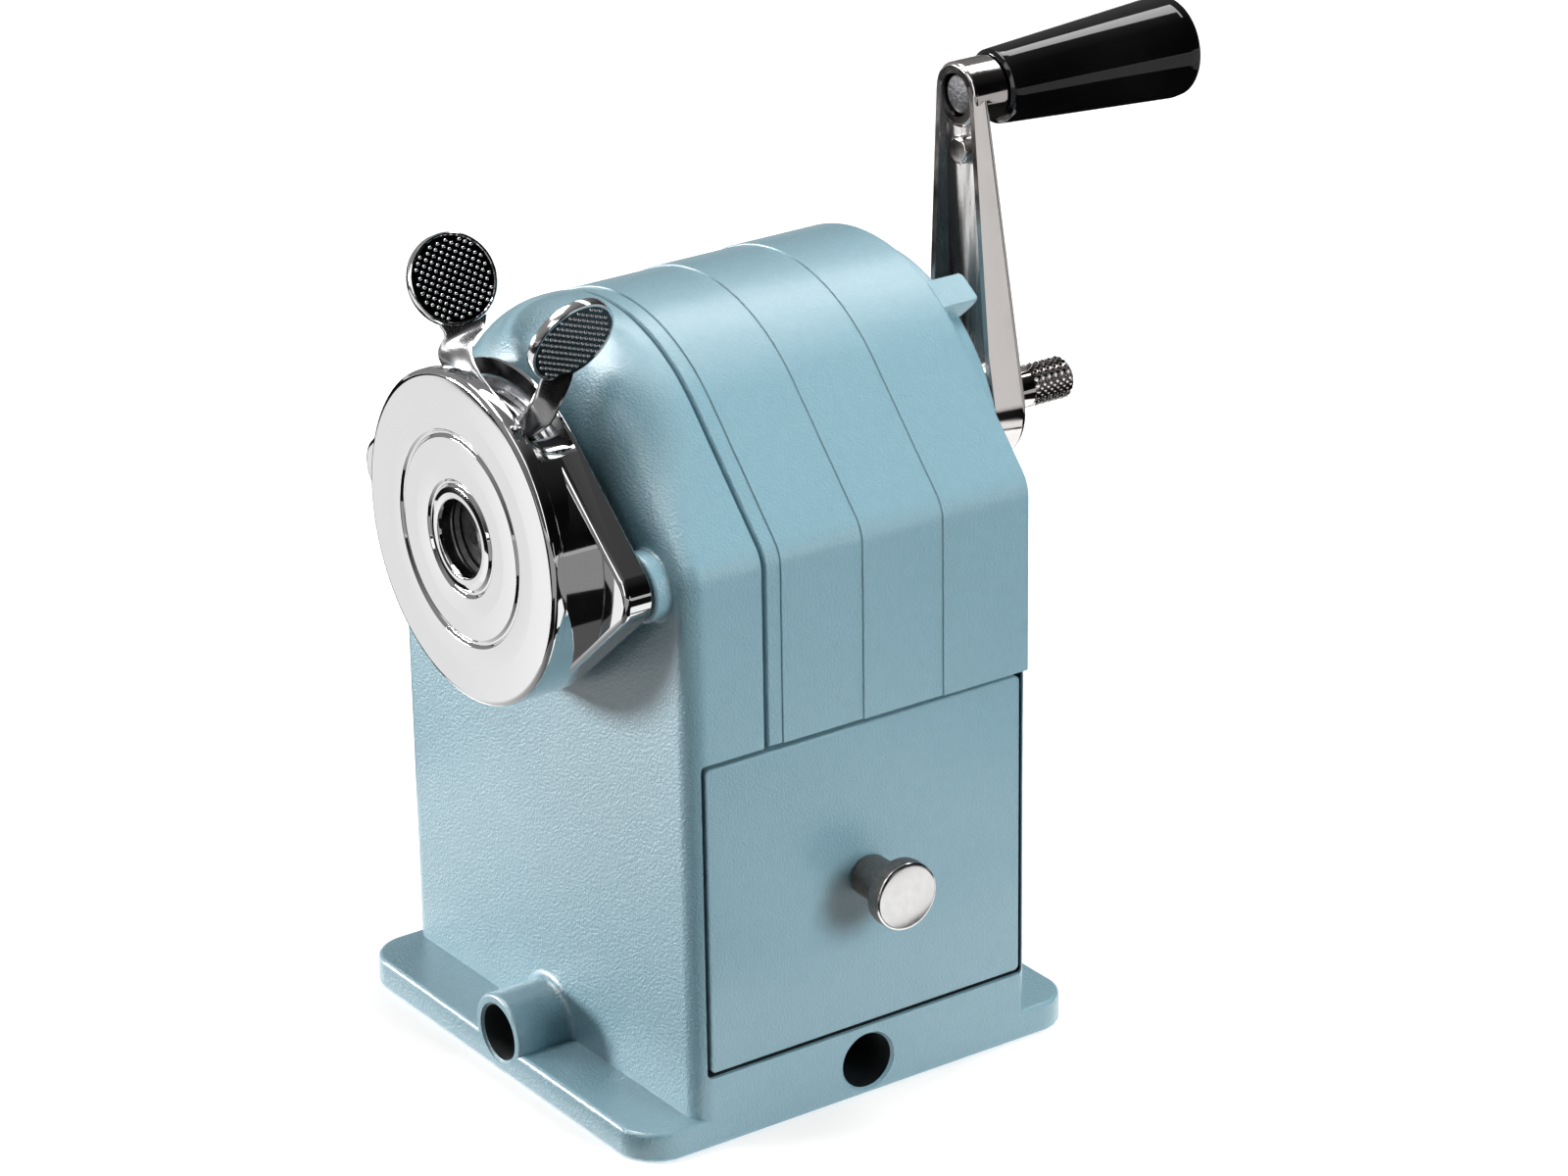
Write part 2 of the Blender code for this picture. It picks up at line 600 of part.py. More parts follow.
def holder_core(chrome, steel):
    """Back plate and clutch body, which close the housing round the levers."""
    tube("holder_back_plate", 0.0, AXIS_Z, (FLANGE_Y[1] - 1.1 * MM, FLANGE_Y[1] - 0.2 * MM),
         PENCIL_R + 0.4 * MM, CUP_INNER_R - GAP, steel, 48)
    body = tube("clutch_body", 0.0, AXIS_Z, (SLOT_Y[0] + 0.3 * MM, FLANGE_Y[1] - 1.4 * MM),
                PENCIL_R + 0.3 * MM, 13.1 * MM, steel, 40)
    cut(body, rod_y("jaw_space", 0.0, AXIS_Z, (SLOT_Y[0] + 1.1 * MM, 0.0), 11.2 * MM,
                    sides=36))
    for side, sign in (("left", -1), ("right", 1)):
        rod_y(f"guide_rod_{side}", sign * ROD_X, AXIS_Z, (FLANGE_Y[0] + 1.4 * MM, ROD_END),
              ROD_R, steel, 20)
        tube(f"rod_retainer_{side}", sign * ROD_X, AXIS_Z,
             (SPRING_Y[1] + GAP, SPRING_Y[1] + 2 * MM), ROD_R + 0.2 * MM, 3.6 * MM, steel, 20)
    middle = (SLOT_Y[0] + SLOT_Y[1]) / 2
    points = []
    for i in range(29):
        angle = math.radians(-240 + 300 * i / 28)
        points.append((16.4 * MM * math.cos(angle), middle,
                       AXIS_Z + 16.4 * MM * math.sin(angle)))
    wire("lever_spring", points, 0.35 * MM, steel)


def jaws(steel):
    """Three sectors that close on the pencil."""
    span = (SLOT_Y[0] + 1.4 * MM, FLANGE_Y[1] - 1.7 * MM)
    spread = 58.0
    for i in range(3):
        facing = 90 + 120 * i
        outline = arc((0.0, AXIS_Z), 1.3 * MM, facing + spread - 8, facing - spread + 8, 4)
        outline += arc((0.0, AXIS_Z), 7.9 * MM, facing - spread, facing + spread, 10)
        plate(f"jaw_{i + 1}", outline, span, "Y", steel)


def lever(name, sign, ring_span, stations, chrome):
    """A ring round the clutch with an arm that twists into a finger pad."""
    ring = tube(name, 0.0, AXIS_Z, ring_span, RING_R[0], RING_R[1], chrome, 40)
    rings = []
    for x, height, y, twist, width, thickness, lean in stations:
        centre = Vector((sign * x, y, AXIS_Z + height))
        turn = math.radians(twist)
        slope = math.radians(lean)
        across = Vector((-sign * math.sin(turn) * math.cos(slope), math.cos(turn),
                         math.sin(turn) * math.sin(slope)))
        along = Vector((sign * math.sin(slope), 0.0, math.cos(slope)))
        through = across.cross(along)
        corners = ((1, 1), (1, -1), (-1, -1), (-1, 1))
        rings.append([centre + across * (a * width / 2) + through * (b * thickness / 2)
                      for a, b in corners])
    arm = loft(name + "_arm", rings)
    bevel(arm, 0.35 * MM, 2, 50)
    x, y, height = PAD_CENTRE
    centre = Vector((sign * x, y, AXIS_Z + height))
    facing = Vector((-sign * height, 0.0, x)).normalized()
    pad = rod(name + "_pad", centre - facing * PAD_T / 2, centre + facing * PAD_T / 2,
              PAD_R, sides=28)
    pad_edge = pad.modifiers.new("edges", "BEVEL")
    pad_edge.width = 0.4 * MM
    pad_edge.segments = 2
    join(ring, arm, pad)
    return ring


def levers(chrome):
    rear_ring = (SLOT_Y[0] + 3.5 * MM, SLOT_Y[1] - 0.4 * MM)
    front_ring = (SLOT_Y[0] + 0.3 * MM, SLOT_Y[0] + 2.3 * MM)
    rear_y = sum(rear_ring) / 2
    front_y = sum(front_ring) / 2
    # x, height over the axis, y, twist off Y, width, thickness, lean
    left = [(3.0 * MM, 16.5 * MM, rear_y, 86, 6.4 * MM, 1.7 * MM, 10),
            (4.2 * MM, 21.0 * MM, rear_y - 1.0 * MM, 72, 5.6 * MM, 1.7 * MM, 14),
            (6.6 * MM, 24.4 * MM, rear_y - 0.5 * MM, 42, 5.6 * MM, 1.7 * MM, 34),
            (9.6 * MM, 26.9 * MM, rear_y + 1.0 * MM, 22, 6.6 * MM, 1.7 * MM, 44),
            (13.4 * MM, 29.2 * MM, rear_y + 2.2 * MM, 6, 8.0 * MM, 1.4 * MM, 30)]
    right = [(7.4 * MM, 16.0 * MM, front_y, 84, 5.6 * MM, 1.7 * MM, 25),
             (10.4 * MM, 20.2 * MM, front_y + 0.8 * MM, 60, 5.0 * MM, 1.7 * MM, 30),
             (12.6 * MM, 23.4 * MM, front_y + 2.2 * MM, 40, 5.6 * MM, 1.7 * MM, 20),
             (13.2 * MM, 25.6 * MM, front_y + 3.6 * MM, 22, 6.6 * MM, 1.7 * MM, 8),
             (14.0 * MM, 29.2 * MM, front_y + 4.6 * MM, 6, 8.0 * MM, 1.4 * MM, 24)]
    lever("lever_left", -1, rear_ring, left, chrome)
    lever("lever_right", 1, front_ring, right, chrome)


def bushes(bronze):
    for side, sign in (("left", -1), ("right", 1)):
        tube(f"rod_bush_{side}", sign * ROD_X, AXIS_Z, (FRONT_Y - 1.9 * MM, FRONT_Y + WALL),
             ROD_R + 0.2 * MM, BUSH_R, bronze, 24)
    tube("front_bush", 0.0, AXIS_Z, (FRONT_Y + GAP, FRONT_Y + WALL + 0.3 * MM),
         7.2 * MM, 9.0 * MM, bronze, 40)
    tube("rear_bearing", 0.0, AXIS_Z, (22.2 * MM, REAR_Y + 3.4 * MM),
         SHAFT_R + 0.2 * MM, 7.0 * MM, bronze, 32)


def return_springs(steel):
    turns = 9
    per_turn = 8
    wire_r = 0.4 * MM
    coil_r = 3.0 * MM
    low = SPRING_Y[0] + wire_r
    high = SPRING_Y[1] - wire_r
    for side, sign in (("left", -1), ("right", 1)):
        points = []
        for i in range(turns * per_turn + 1):
            angle = 2 * math.pi * i / per_turn
            points.append((sign * ROD_X + coil_r * math.cos(angle),
                           low + (high - low) * i / (turns * per_turn),
                           AXIS_Z + coil_r * math.sin(angle)))
        wire(f"return_spring_{side}", points, wire_r, steel)


# ---------------------------------------------------------------- cutting head

def toothed(teeth, root_r, tip_r, root_share, tip_share, phase=0.0):
    """A gear outline as (x, z) about the origin; shares are of one tooth pitch."""
    points = []
    pitch = 2 * math.pi / teeth
    for i in range(teeth):
        middle = math.pi / 2 + phase + i * pitch
        for offset, radius in ((-root_share, root_r), (-tip_share, tip_r),
                               (tip_share, tip_r), (root_share, root_r)):
            angle = middle + offset * pitch / 2
            points.append((radius * math.cos(angle), radius * math.sin(angle)))
    return points


def cutter_axis(y):
    """A point on the tilted cutter axis at this y, and how far it is off the crank axis."""
    offset = CUTTER_OFFSET - (y - MESH_Y) * math.tan(TILT)
    return Vector((0.0, y, AXIS_Z + offset))


def along_axis(outline_at, stations):
    """Rings of points across the tilted axis; outline_at(station) gives (x, z) pairs."""
    direction = Vector((0.0, math.cos(TILT), -math.sin(TILT)))
    up = Vector((0.0, math.sin(TILT), math.cos(TILT)))
    rings = []
    for station in stations:
        centre = cutter_axis(MESH_Y) + direction * station
        rings.append([centre + Vector((x, 0.0, 0.0)) + up * z
                      for x, z in outline_at(station)])
    return rings


def ring_gear(steel):
    span = (-21.3 * MM, -16.9 * MM)
    piece = rod_y("ring_gear", 0.0, AXIS_Z, span, 20.5 * MM, steel, 56)
    gap_outline = toothed(RING_TEETH, RING_PITCH_R - 0.5 * MM, RING_PITCH_R + 0.85 * MM,
                          0.68, 0.4)
    space = plate("ring_space", [(x, z + AXIS_Z) for x, z in gap_outline],
                  (span[0] - 2 * MM, span[1] + 2 * MM))
    cut(piece, space)
    return piece


def cutter(steel, bright):
    half = 1.9 * MM

    def pinion_outline(station):
        grow = station * math.sin(TILT) / PINION_PITCH_R
        outline = toothed(PINION_TEETH, PINION_PITCH_R - 0.75 * MM,
                          PINION_PITCH_R + 0.55 * MM, 0.58, 0.24)
        return [(x * (1 + grow), z * (1 + grow)) for x, z in outline]

    pinion = loft("cutter_pinion", along_axis(pinion_outline, (-half, half)), bright)

    def blade_outline(station):
        turn = station / (28 * MM) * math.radians(70)
        return toothed(14, CUTTER_R - 0.8 * MM, CUTTER_R, 0.9, 0.25, turn)

    first = 2.3 * MM
    last = 31.2 * MM
    stations = [first + (last - first) * i / 5 for i in range(6)]
    blades = loft("milling_cutter", along_axis(blade_outline, stations), steel)
    direction = Vector((0.0, math.cos(TILT), -math.sin(TILT)))
    centre = cutter_axis(MESH_Y)
    bore = rod("cutter_bore", centre - direction * 10 * MM, centre + direction * 40 * MM,
               1.9 * MM, sides=20)
    cut(pinion, bore)
    cut(blades, bore)
    rod("cutter_axle", centre - direction * 4.6 * MM, centre + direction * 35.4 * MM,
        1.5 * MM, bright, 20)
    return centre, direction


def cutter_carrier(steel):
    """The cage that carries the cutter round the pencil."""
    body = turned("cutter_carrier",
                  [(14.0 * MM, -22.4 * MM), (14.0 * MM, -24.0 * MM), (6.9 * MM, -24.0 * MM),
                   (6.9 * MM, FRONT_Y + 0.5 * MM), (PENCIL_R + 0.2 * MM, FRONT_Y + 0.5 * MM),
                   (PENCIL_R + 0.2 * MM, -22.4 * MM)],
                  (0.0, 0.0, AXIS_Z), "Y", steel, 40, ring=True)
    rear = tube("carrier_rear", 0.0, AXIS_Z, (13.2 * MM, 16.8 * MM), 1.8 * MM, 13 * MM,
                None, 40)
    pillars = []
    for i, angle in enumerate((125, 235)):
        turn = math.radians(angle)
        pillars.append(rod_y(f"pillar_{i}", 11 * MM * math.sin(turn),
                             AXIS_Z + 11 * MM * math.cos(turn), (-23 * MM, 14 * MM),
                             2.2 * MM, sides=18))
    direction = Vector((0.0, math.cos(TILT), -math.sin(TILT)))
    centre = cutter_axis(MESH_Y)
    axle_hole = rod("axle_hole", centre - direction * 10 * MM, centre + direction * 40 * MM,
                    1.75 * MM, sides=20)
    join(body, rear, *pillars)
    cut(body, axle_hole)
    return body


# ---------------------------------------------------------------- crank

def arm_point(distance):
    return (distance * math.sin(ARM_ANGLE), AXIS_Z + distance * math.cos(ARM_ANGLE))


def arm_outline(hub_r, top_r):
    """Two circles joined by straight tangents, along the leaning arm."""
    lean = math.degrees(math.asin((hub_r - top_r) / ARM_LENGTH))
    up = 90 - math.degrees(ARM_ANGLE)
    points = arc(arm_point(0.0), hub_r, up + 90 - lean, up + 270 + lean, 20)
    points += arc(arm_point(ARM_LENGTH), top_r, up - 90 + lean, up + 90 - lean, 12)
    return points


def crank_arm(chrome):
    front = ARM_BACK - 5.0 * MM
    arm = plate("crank_arm", arm_outline(HUB_R, TOP_R), (front, ARM_BACK), "Y", chrome)
    bevel(arm, 0.5 * MM, 2, 60)
    pocket = plate("arm_pocket", arm_outline(HUB_R - 1.3 * MM, TOP_R - 1.25 * MM),
                   (front - 5 * MM, ARM_BACK - 1.3 * MM))
    wedge = box("arm_wedge", (-20 * MM, -20 * MM, 0.0), (20 * MM, 0.0, 60 * MM))
    drop = math.atan2(2.6 * MM, ARM_LENGTH - 6 * MM)
    wedge.rotation_euler = Euler((-drop, ARM_ANGLE, 0.0), "XYZ")
    wedge.location = (arm_point(6 * MM)[0], front, arm_point(6 * MM)[1])
    hub = rod_y("arm_hub", 0.0, AXIS_Z, (front - 0.4 * MM, ARM_BACK - 0.5 * MM), 6.2 * MM,
                sides=36)
    top_x, top_z = arm_point(ARM_LENGTH)
    boss = rod_y("arm_boss", top_x, top_z, (ARM_BACK - 2.3 * MM, ARM_BACK + 3.5 * MM), TOP_R,
                 sides=36)
    peg_x, peg_z = arm_point(36 * MM)
    peg = rod_y("arm_peg", peg_x, peg_z, (ARM_BACK - 2.6 * MM, ARM_BACK - 0.8 * MM), 2 * MM,
                sides=24)
    cut(arm, pocket, wedge)
    join(arm, hub, boss, peg)
    cut(arm,
        rod_y("hub_bore", 0.0, AXIS_Z, (20 * MM, 80 * MM), SHAFT_R + 0.3 * MM, sides=32),
        rod_y("boss_bore", top_x, top_z, (20 * MM, 80 * MM), 2.85 * MM + GAP, sides=28))
    return arm


def crank_parts(chrome, steel, black):
    tube("crank_sleeve", 0.0, AXIS_Z, (REAR_Y + 4.1 * MM, ARM_BACK - 5.8 * MM),
         SHAFT_R + GAP, 6.4 * MM, chrome, 36)
    flange = 17.1 * MM
    shaft = turned("drive_shaft",
                   [(SHAFT_R, ARM_BACK - 0.2 * MM), (SHAFT_R, flange + 2.2 * MM),
                    (8 * MM, flange + 2.2 * MM), (8 * MM, flange), (1.8 * MM, flange),
                    (1.8 * MM, ARM_BACK - 0.2 * MM)],
                   (0.0, 0.0, AXIS_Z), "Y", steel, 32, ring=True)
    top_x, top_z = arm_point(ARM_LENGTH)
    turned("handle_axle",
           [(0.0, GRIP_Y[0] + 27 * MM), (2.1 * MM, GRIP_Y[0] + 27 * MM),
            (2.1 * MM, ARM_BACK + 3.3 * MM), (2.85 * MM, ARM_BACK + 3.3 * MM),
            (2.85 * MM, ARM_BACK - 1.9 * MM), (0.0, ARM_BACK - 1.9 * MM)],
           (top_x, 0.0, top_z), "Y", steel, 28)
    small, large = GRIP_R
    start, end = GRIP_Y
    profile = [(0.0, end), (0.55 * large, end - 0.35 * MM)]
    for i in range(5):
        angle = math.pi / 2 * i / 4
        profile.append((large - 2.6 * MM * (1 - math.sin(angle)),
                        end - 0.9 * MM - 2.6 * MM * (1 - math.cos(angle))))
    profile += [(small, start + 0.5 * MM), (small - 0.5 * MM, start), (2.4 * MM, start),
                (2.4 * MM, start + 27.5 * MM), (0.0, start + 27.5 * MM)]
    turned("handle_grip", profile, (top_x, 0.0, top_z), "Y", black, 32)
    return shaft


def adjuster(chrome, steel):
    """The knurled knob on the crank axis, and the stop that it moves."""
    start = ARM_BACK + 0.3 * MM
    turned("adjuster_knob",
           [(0.0, start + 13.1 * MM), (2.2 * MM, start + 13.0 * MM),
            (2.9 * MM, start + 12.5 * MM), (3.15 * MM, start + 11.8 * MM),
            (3.15 * MM, start + 6.0 * MM), (2.9 * MM, start + 5.6 * MM),
            (2.9 * MM, start), (1.5 * MM, start), (1.5 * MM, start - 9 * MM),
            (0.0, start - 9 * MM)],
           (0.0, 0.0, AXIS_Z), "Y", chrome, 36)
    turned("point_stop",
           [(0.0, start - 12.0 * MM), (1.3 * MM, start - 12.0 * MM), (1.3 * MM, 15.2 * MM),
            (0.5 * MM, 14.4 * MM), (0.0, 14.4 * MM)],
           (0.0, 0.0, AXIS_Z), "Y", steel, 20)


def build():
    blue = make_material("light_blue_paint", (0.33, 0.52, 0.58), 0.42, 0.0)
    chrome = make_material("chrome", (0.82, 0.82, 0.83), 0.06, 1.0)
    steel = make_material("steel", (0.50, 0.50, 0.52), 0.32, 1.0)
    bright = make_material("turned_aluminium", (0.62, 0.61, 0.60), 0.28, 1.0)
    bronze = make_material("bronze", (0.62, 0.42, 0.22), 0.35, 1.0)
    black = make_material("black_plastic", (0.01, 0.01, 0.01), 0.08, 0.0)
    plastic = make_material("grey_plastic", (0.16, 0.18, 0.19), 0.5, 0.0)
    rubber = make_material("rubber", (0.02, 0.02, 0.02), 0.85, 0.0)
    body_casting(blue)
    hood(blue)
    base_pad(rubber)
    hood_screws(steel)
    drawer(blue, plastic, bright, steel)
    holder_housing(chrome)
    holder_face(chrome)
    holder_core(chrome, steel)
    jaws(steel)
    levers(chrome)
    bushes(bronze)
    return_springs(steel)
    ring_gear(steel)
    cutter(steel, bright)
    cutter_carrier(steel)
    crank_arm(chrome)
    crank_parts(chrome, steel, black)
    adjuster(chrome, steel)


clear_scene()
SHARPENER = new_collection(PARTS)
TOOLS = new_collection("cutters")
build()
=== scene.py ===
"""Looks for the desk pencil sharpener: detailed pieces, materials, light and camera.

Shapes are built in millimetres and scaled to metres when a piece is finished.
"""
import json
import math

import bmesh
import bpy
from mathutils import Matrix, Vector

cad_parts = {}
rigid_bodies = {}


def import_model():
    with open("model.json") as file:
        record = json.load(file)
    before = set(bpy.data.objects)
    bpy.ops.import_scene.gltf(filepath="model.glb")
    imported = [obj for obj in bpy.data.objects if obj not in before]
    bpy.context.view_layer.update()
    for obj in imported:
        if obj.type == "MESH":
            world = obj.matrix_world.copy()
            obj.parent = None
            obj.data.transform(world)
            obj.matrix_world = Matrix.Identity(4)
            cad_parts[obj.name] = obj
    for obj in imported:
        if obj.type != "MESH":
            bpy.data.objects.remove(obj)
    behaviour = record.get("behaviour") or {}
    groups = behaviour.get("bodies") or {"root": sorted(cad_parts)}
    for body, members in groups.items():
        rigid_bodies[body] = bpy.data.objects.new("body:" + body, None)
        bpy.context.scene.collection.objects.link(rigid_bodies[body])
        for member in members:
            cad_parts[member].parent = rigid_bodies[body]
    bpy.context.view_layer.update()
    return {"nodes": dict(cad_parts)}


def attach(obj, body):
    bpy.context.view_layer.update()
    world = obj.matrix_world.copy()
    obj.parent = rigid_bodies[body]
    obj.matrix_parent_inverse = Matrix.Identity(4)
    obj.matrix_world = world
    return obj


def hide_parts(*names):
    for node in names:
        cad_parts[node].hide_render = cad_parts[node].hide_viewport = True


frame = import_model()
nodes = frame["nodes"]

HALF = 36.3                  # half width of the body
FRONT = -27.7                # front wall
REAR = 27.7                  # rear wall
AXIS = 80.0                  # height of the pencil and crank axis
SEAM = FRONT + 12.3          # where the hood meets the front casting
ARC_R = 28.8                 # rounded top of the body
CREASE = 83.3                # height of the crease where a side turns inwards
HOOD_FOOT = 56.3             # lower edge of the hood
WALL_BACK = REAR - 2.8       # inside of the rear wall
ROD_X = 28.2                 # guide rods, either side of the axis
BOSS_X = 28.25               # bosses round the guide rods
FRONT_CLAMP = (0.0, 5.5)     # x and z of the clamp hole at the front
SIDE_CLAMP = (0.4, 4.9)      # y and z of the clamp hole at the side
KNOB = (0.6, 33.3)           # y and z of the drawer's knob
PAD_X = 14.5                 # middle of a finger pad, either side of the axis
PAD_HEIGHT = 30.3            # and above it
PAD_R = 6.4                  # radius of a finger pad

scratch = bpy.data.collections.new("scratch")
bpy.context.scene.collection.children.link(scratch)


# ------------------------------------------------------------ procedural materials

def new_material(name):
    material = bpy.data.materials.new(name)
    material.use_nodes = True
    tree = material.node_tree
    shader = tree.nodes["Principled BSDF"]
    place = tree.nodes.new("ShaderNodeTexCoord")
    return material, tree, shader, place.outputs["Object"]


def noise(tree, where, scale, detail, rough=0.5, stretch=None):
    if stretch:
        mapping = tree.nodes.new("ShaderNodeMapping")
        mapping.inputs["Scale"].default_value = stretch
        tree.links.new(where, mapping.inputs["Vector"])
        where = mapping.outputs["Vector"]
    texture = tree.nodes.new("ShaderNodeTexNoise")
    texture.inputs["Scale"].default_value = scale
    texture.inputs["Detail"].default_value = detail
    texture.inputs["Roughness"].default_value = rough
    tree.links.new(where, texture.inputs["Vector"])
    return texture.outputs["Fac"]


def ramp(tree, value, stops):
    node = tree.nodes.new("ShaderNodeValToRGB")
    band = node.color_ramp
    while len(band.elements) < len(stops):
        band.elements.new(0.5)
    for element, (place, colour) in zip(band.elements, stops):
        element.position = place
        element.color = (*colour, 1.0)
    tree.links.new(value, node.inputs["Fac"])
    return node.outputs["Color"]


def grey(level):
    return (level, level, level)


def bump(tree, shader, height, strength, distance):
    node = tree.nodes.new("ShaderNodeBump")
    node.inputs["Strength"].default_value = strength
    node.inputs["Distance"].default_value = distance
    tree.links.new(height, node.inputs["Height"])
    tree.links.new(node.outputs["Normal"], shader.inputs["Normal"])


def paint_material():
    material, tree, shader, where = new_material("powder_coat")
    mottle = noise(tree, where, 700.0, 3.0, 0.6)
    colour = ramp(tree, mottle, [(0.30, (0.172, 0.318, 0.380)),
                                 (0.70, (0.184, 0.334, 0.397))])
    tree.links.new(colour, shader.inputs["Base Color"])
    fine = noise(tree, where, 1500.0, 2.0, 0.5)
    rough = ramp(tree, fine, [(0.3, grey(0.36)), (0.7, grey(0.46))])
    tree.links.new(rough, shader.inputs["Roughness"])
    bump(tree, shader, noise(tree, where, 2700.0, 2.0, 0.6), 0.7, 0.00024)
    shader.inputs["Specular IOR Level"].default_value = 0.9
    shader.inputs["Coat Weight"].default_value = 0.9
    shader.inputs["Coat Roughness"].default_value = 0.25
    return material


def metal_material(name, colour, low, high, scale, stretch=None, depth=0.0, spread=0.92):
    """A metal whose roughness and tone vary slightly, with an optional fine relief."""
    material, tree, shader, where = new_material(name)
    shader.inputs["Metallic"].default_value = 1.0
    grain = noise(tree, where, scale, 3.0, 0.6, stretch)
    dark = tuple(c * spread for c in colour)
    tone = ramp(tree, grain, [(0.35, dark), (0.65, colour)])
    tree.links.new(tone, shader.inputs["Base Color"])
    rough = ramp(tree, grain, [(0.3, grey(low)), (0.7, grey(high))])
    tree.links.new(rough, shader.inputs["Roughness"])
    if depth:
        bump(tree, shader, grain, 0.5, depth)
    return material


def plastic_material(name, colour, low, high, scale, depth):
    material, tree, shader, where = new_material(name)
    mottle = noise(tree, where, scale * 0.25, 2.0)
    light = tuple(min(1.0, c * 1.12 + 0.002) for c in colour)
    tree.links.new(ramp(tree, mottle, [(0.3, colour), (0.7, light)]),
                   shader.inputs["Base Color"])
    rough = ramp(tree, noise(tree, where, scale, 2.0), [(0.3, grey(low)), (0.7, grey(high))])
    tree.links.new(rough, shader.inputs["Roughness"])
    if depth:
        bump(tree, shader, noise(tree, where, scale, 2.0), 0.4, depth)
    return material


PAINT = paint_material()
CHROME = metal_material("chrome", (0.80, 0.80, 0.805), 0.03, 0.06, 90.0, spread=0.985)
LEVER = metal_material("lever_chrome", (0.78, 0.78, 0.785), 0.09, 0.16, 120.0, spread=0.97)
PRESSED = metal_material("pressed_chrome", (0.74, 0.70, 0.685), 0.06, 0.13, 160.0, None,
                         0.00004, 0.95)
# Near-black metal for the holder's slot, its pencil mouth and the pads between the knurls:
# painted shade.
SHADE_METAL = metal_material("painted_shade_metal", (0.05, 0.05, 0.052), 0.16, 0.26, 600.0)
STEM = metal_material("knob_stem", (0.40, 0.31, 0.28), 0.36, 0.55, 1500.0, None, 0.0002, 0.7)
JAW = metal_material("jaw_steel", (0.42, 0.42, 0.425), 0.35, 0.55, 1500.0, None, 0.0001, 0.7)
# A darker, rougher copy of the pressed chrome for the crank channel's inner walls and web: the
# darker tone is painted shade; the stretched grain gives streaks.
INSIDE = metal_material("channel_inside", (0.36, 0.35, 0.345), 0.18, 0.36, 700.0,
                        (1.0, 1.0, 0.1), 0.00004)
# A rougher, darker copy of the lever chrome for the arms; the darker tone dims their
# highlights: painted shade.
NECK = metal_material("lever_neck", (0.60, 0.60, 0.605), 0.19, 0.27, 600.0)
STEEL = metal_material("machined_steel", (0.56, 0.56, 0.575), 0.26, 0.42, 900.0, None,
                       0.00006)
# Steel for the handle's axle and rivet, painted near black to mute the highlight on the rivet:
# painted shade.
SHADED_RIVET_STEEL = metal_material("rivet_steel_painted_shade", (0.06, 0.06, 0.062), 0.35, 0.6, 1600.0, None,
                            0.0003, 0.7)
TURNED = metal_material("satin_steel", (0.76, 0.755, 0.745), 0.13, 0.2, 700.0, None, 0.00001)
BRONZE = metal_material("bearing_bronze", (0.62, 0.43, 0.24), 0.3, 0.42, 700.0, None,
                        0.00004)
SPRING = metal_material("spring_wire", (0.45, 0.45, 0.47), 0.22, 0.34, 500.0)
# Near-black material for the inside of the clamp holes and the drawer's opening: painted
# shade.
SHADE_CASTING = plastic_material("painted_shade_casting", (0.010, 0.014, 0.016), 0.7, 0.85, 900.0, 0.00006)
BLACK = plastic_material("gloss_black", (0.0012, 0.0012, 0.0013), 0.03, 0.05, 300.0, 0.0)
GREY = plastic_material("drawer_plastic", (0.07, 0.085, 0.09), 0.42, 0.55, 900.0, 0.00006)
RUBBER = plastic_material("pad_rubber", (0.012, 0.012, 0.012), 0.75, 0.9, 1500.0, 0.00012)
BLACK.node_tree.nodes["Principled BSDF"].inputs["Specular IOR Level"].default_value = 0.6


# ------------------------------------------------------------ shapes in millimetres

def loose(name, verts, faces):
    """A scratch shape made as it is, without welding or turning its faces."""
    mesh = bpy.data.meshes.new(name)
    mesh.from_pydata([tuple(v) for v in verts], [], faces)
    item = bpy.data.objects.new(name, mesh)
    scratch.objects.link(item)
    return item


def solid(name, verts, faces):
    """A scratch shape with its points welded and its faces turned outwards."""
    item = loose(name, verts, faces)
    shape = bmesh.new()
    shape.from_mesh(item.data)
    bmesh.ops.remove_doubles(shape, verts=shape.verts, dist=0.0005)
    bmesh.ops.recalc_face_normals(shape, faces=shape.faces)
    shape.to_mesh(item.data)
    shape.free()
    return item


def loft(name, rings, caps=True):
    """A skin through closed rings of points, with or without its two ends."""
    count = len(rings[0])
    verts = [point for ring in rings for point in ring]
    faces = []
    for row in range(0, len(verts) - count, count):
        for i in range(count):
            j = (i + 1) % count
            faces.append((row + i, row + j, row + count + j, row + count + i))
    if caps:
        faces.append(tuple(range(count)))
        faces.append(tuple(range(len(verts) - count, len(verts))))
    return solid(name, verts, faces)


def fillet(points, steps, closed=False):
    """Rounds a path's corners: (u, v, radius) in, (u, v) out."""
    result = []
    count = len(points)
    for i, (u, v, radius) in enumerate(points):
        ends = not closed and i in (0, count - 1)
        if radius <= 0 or ends:
            result.append((u, v))
            continue
        here = Vector((u, v))
        before = (Vector(points[i - 1][:2]) - here)
        after = (Vector(points[(i + 1) % count][:2]) - here)
        opening = before.angle(after)
        reach = radius / math.tan(opening / 2)
        reach = min(reach, before.length * 0.49, after.length * 0.49)
        size = reach * math.tan(opening / 2)
        start = here + before.normalized() * reach
        end = here + after.normalized() * reach
        middle = here + (before.normalized() + after.normalized()).normalized() \
            * (size / math.sin(opening / 2))
        for step in range(steps + 1):
            spot = start.lerp(end, step / steps) - middle
            spot = middle + spot.normalized() * size
            result.append((spot.x, spot.y))
    return result


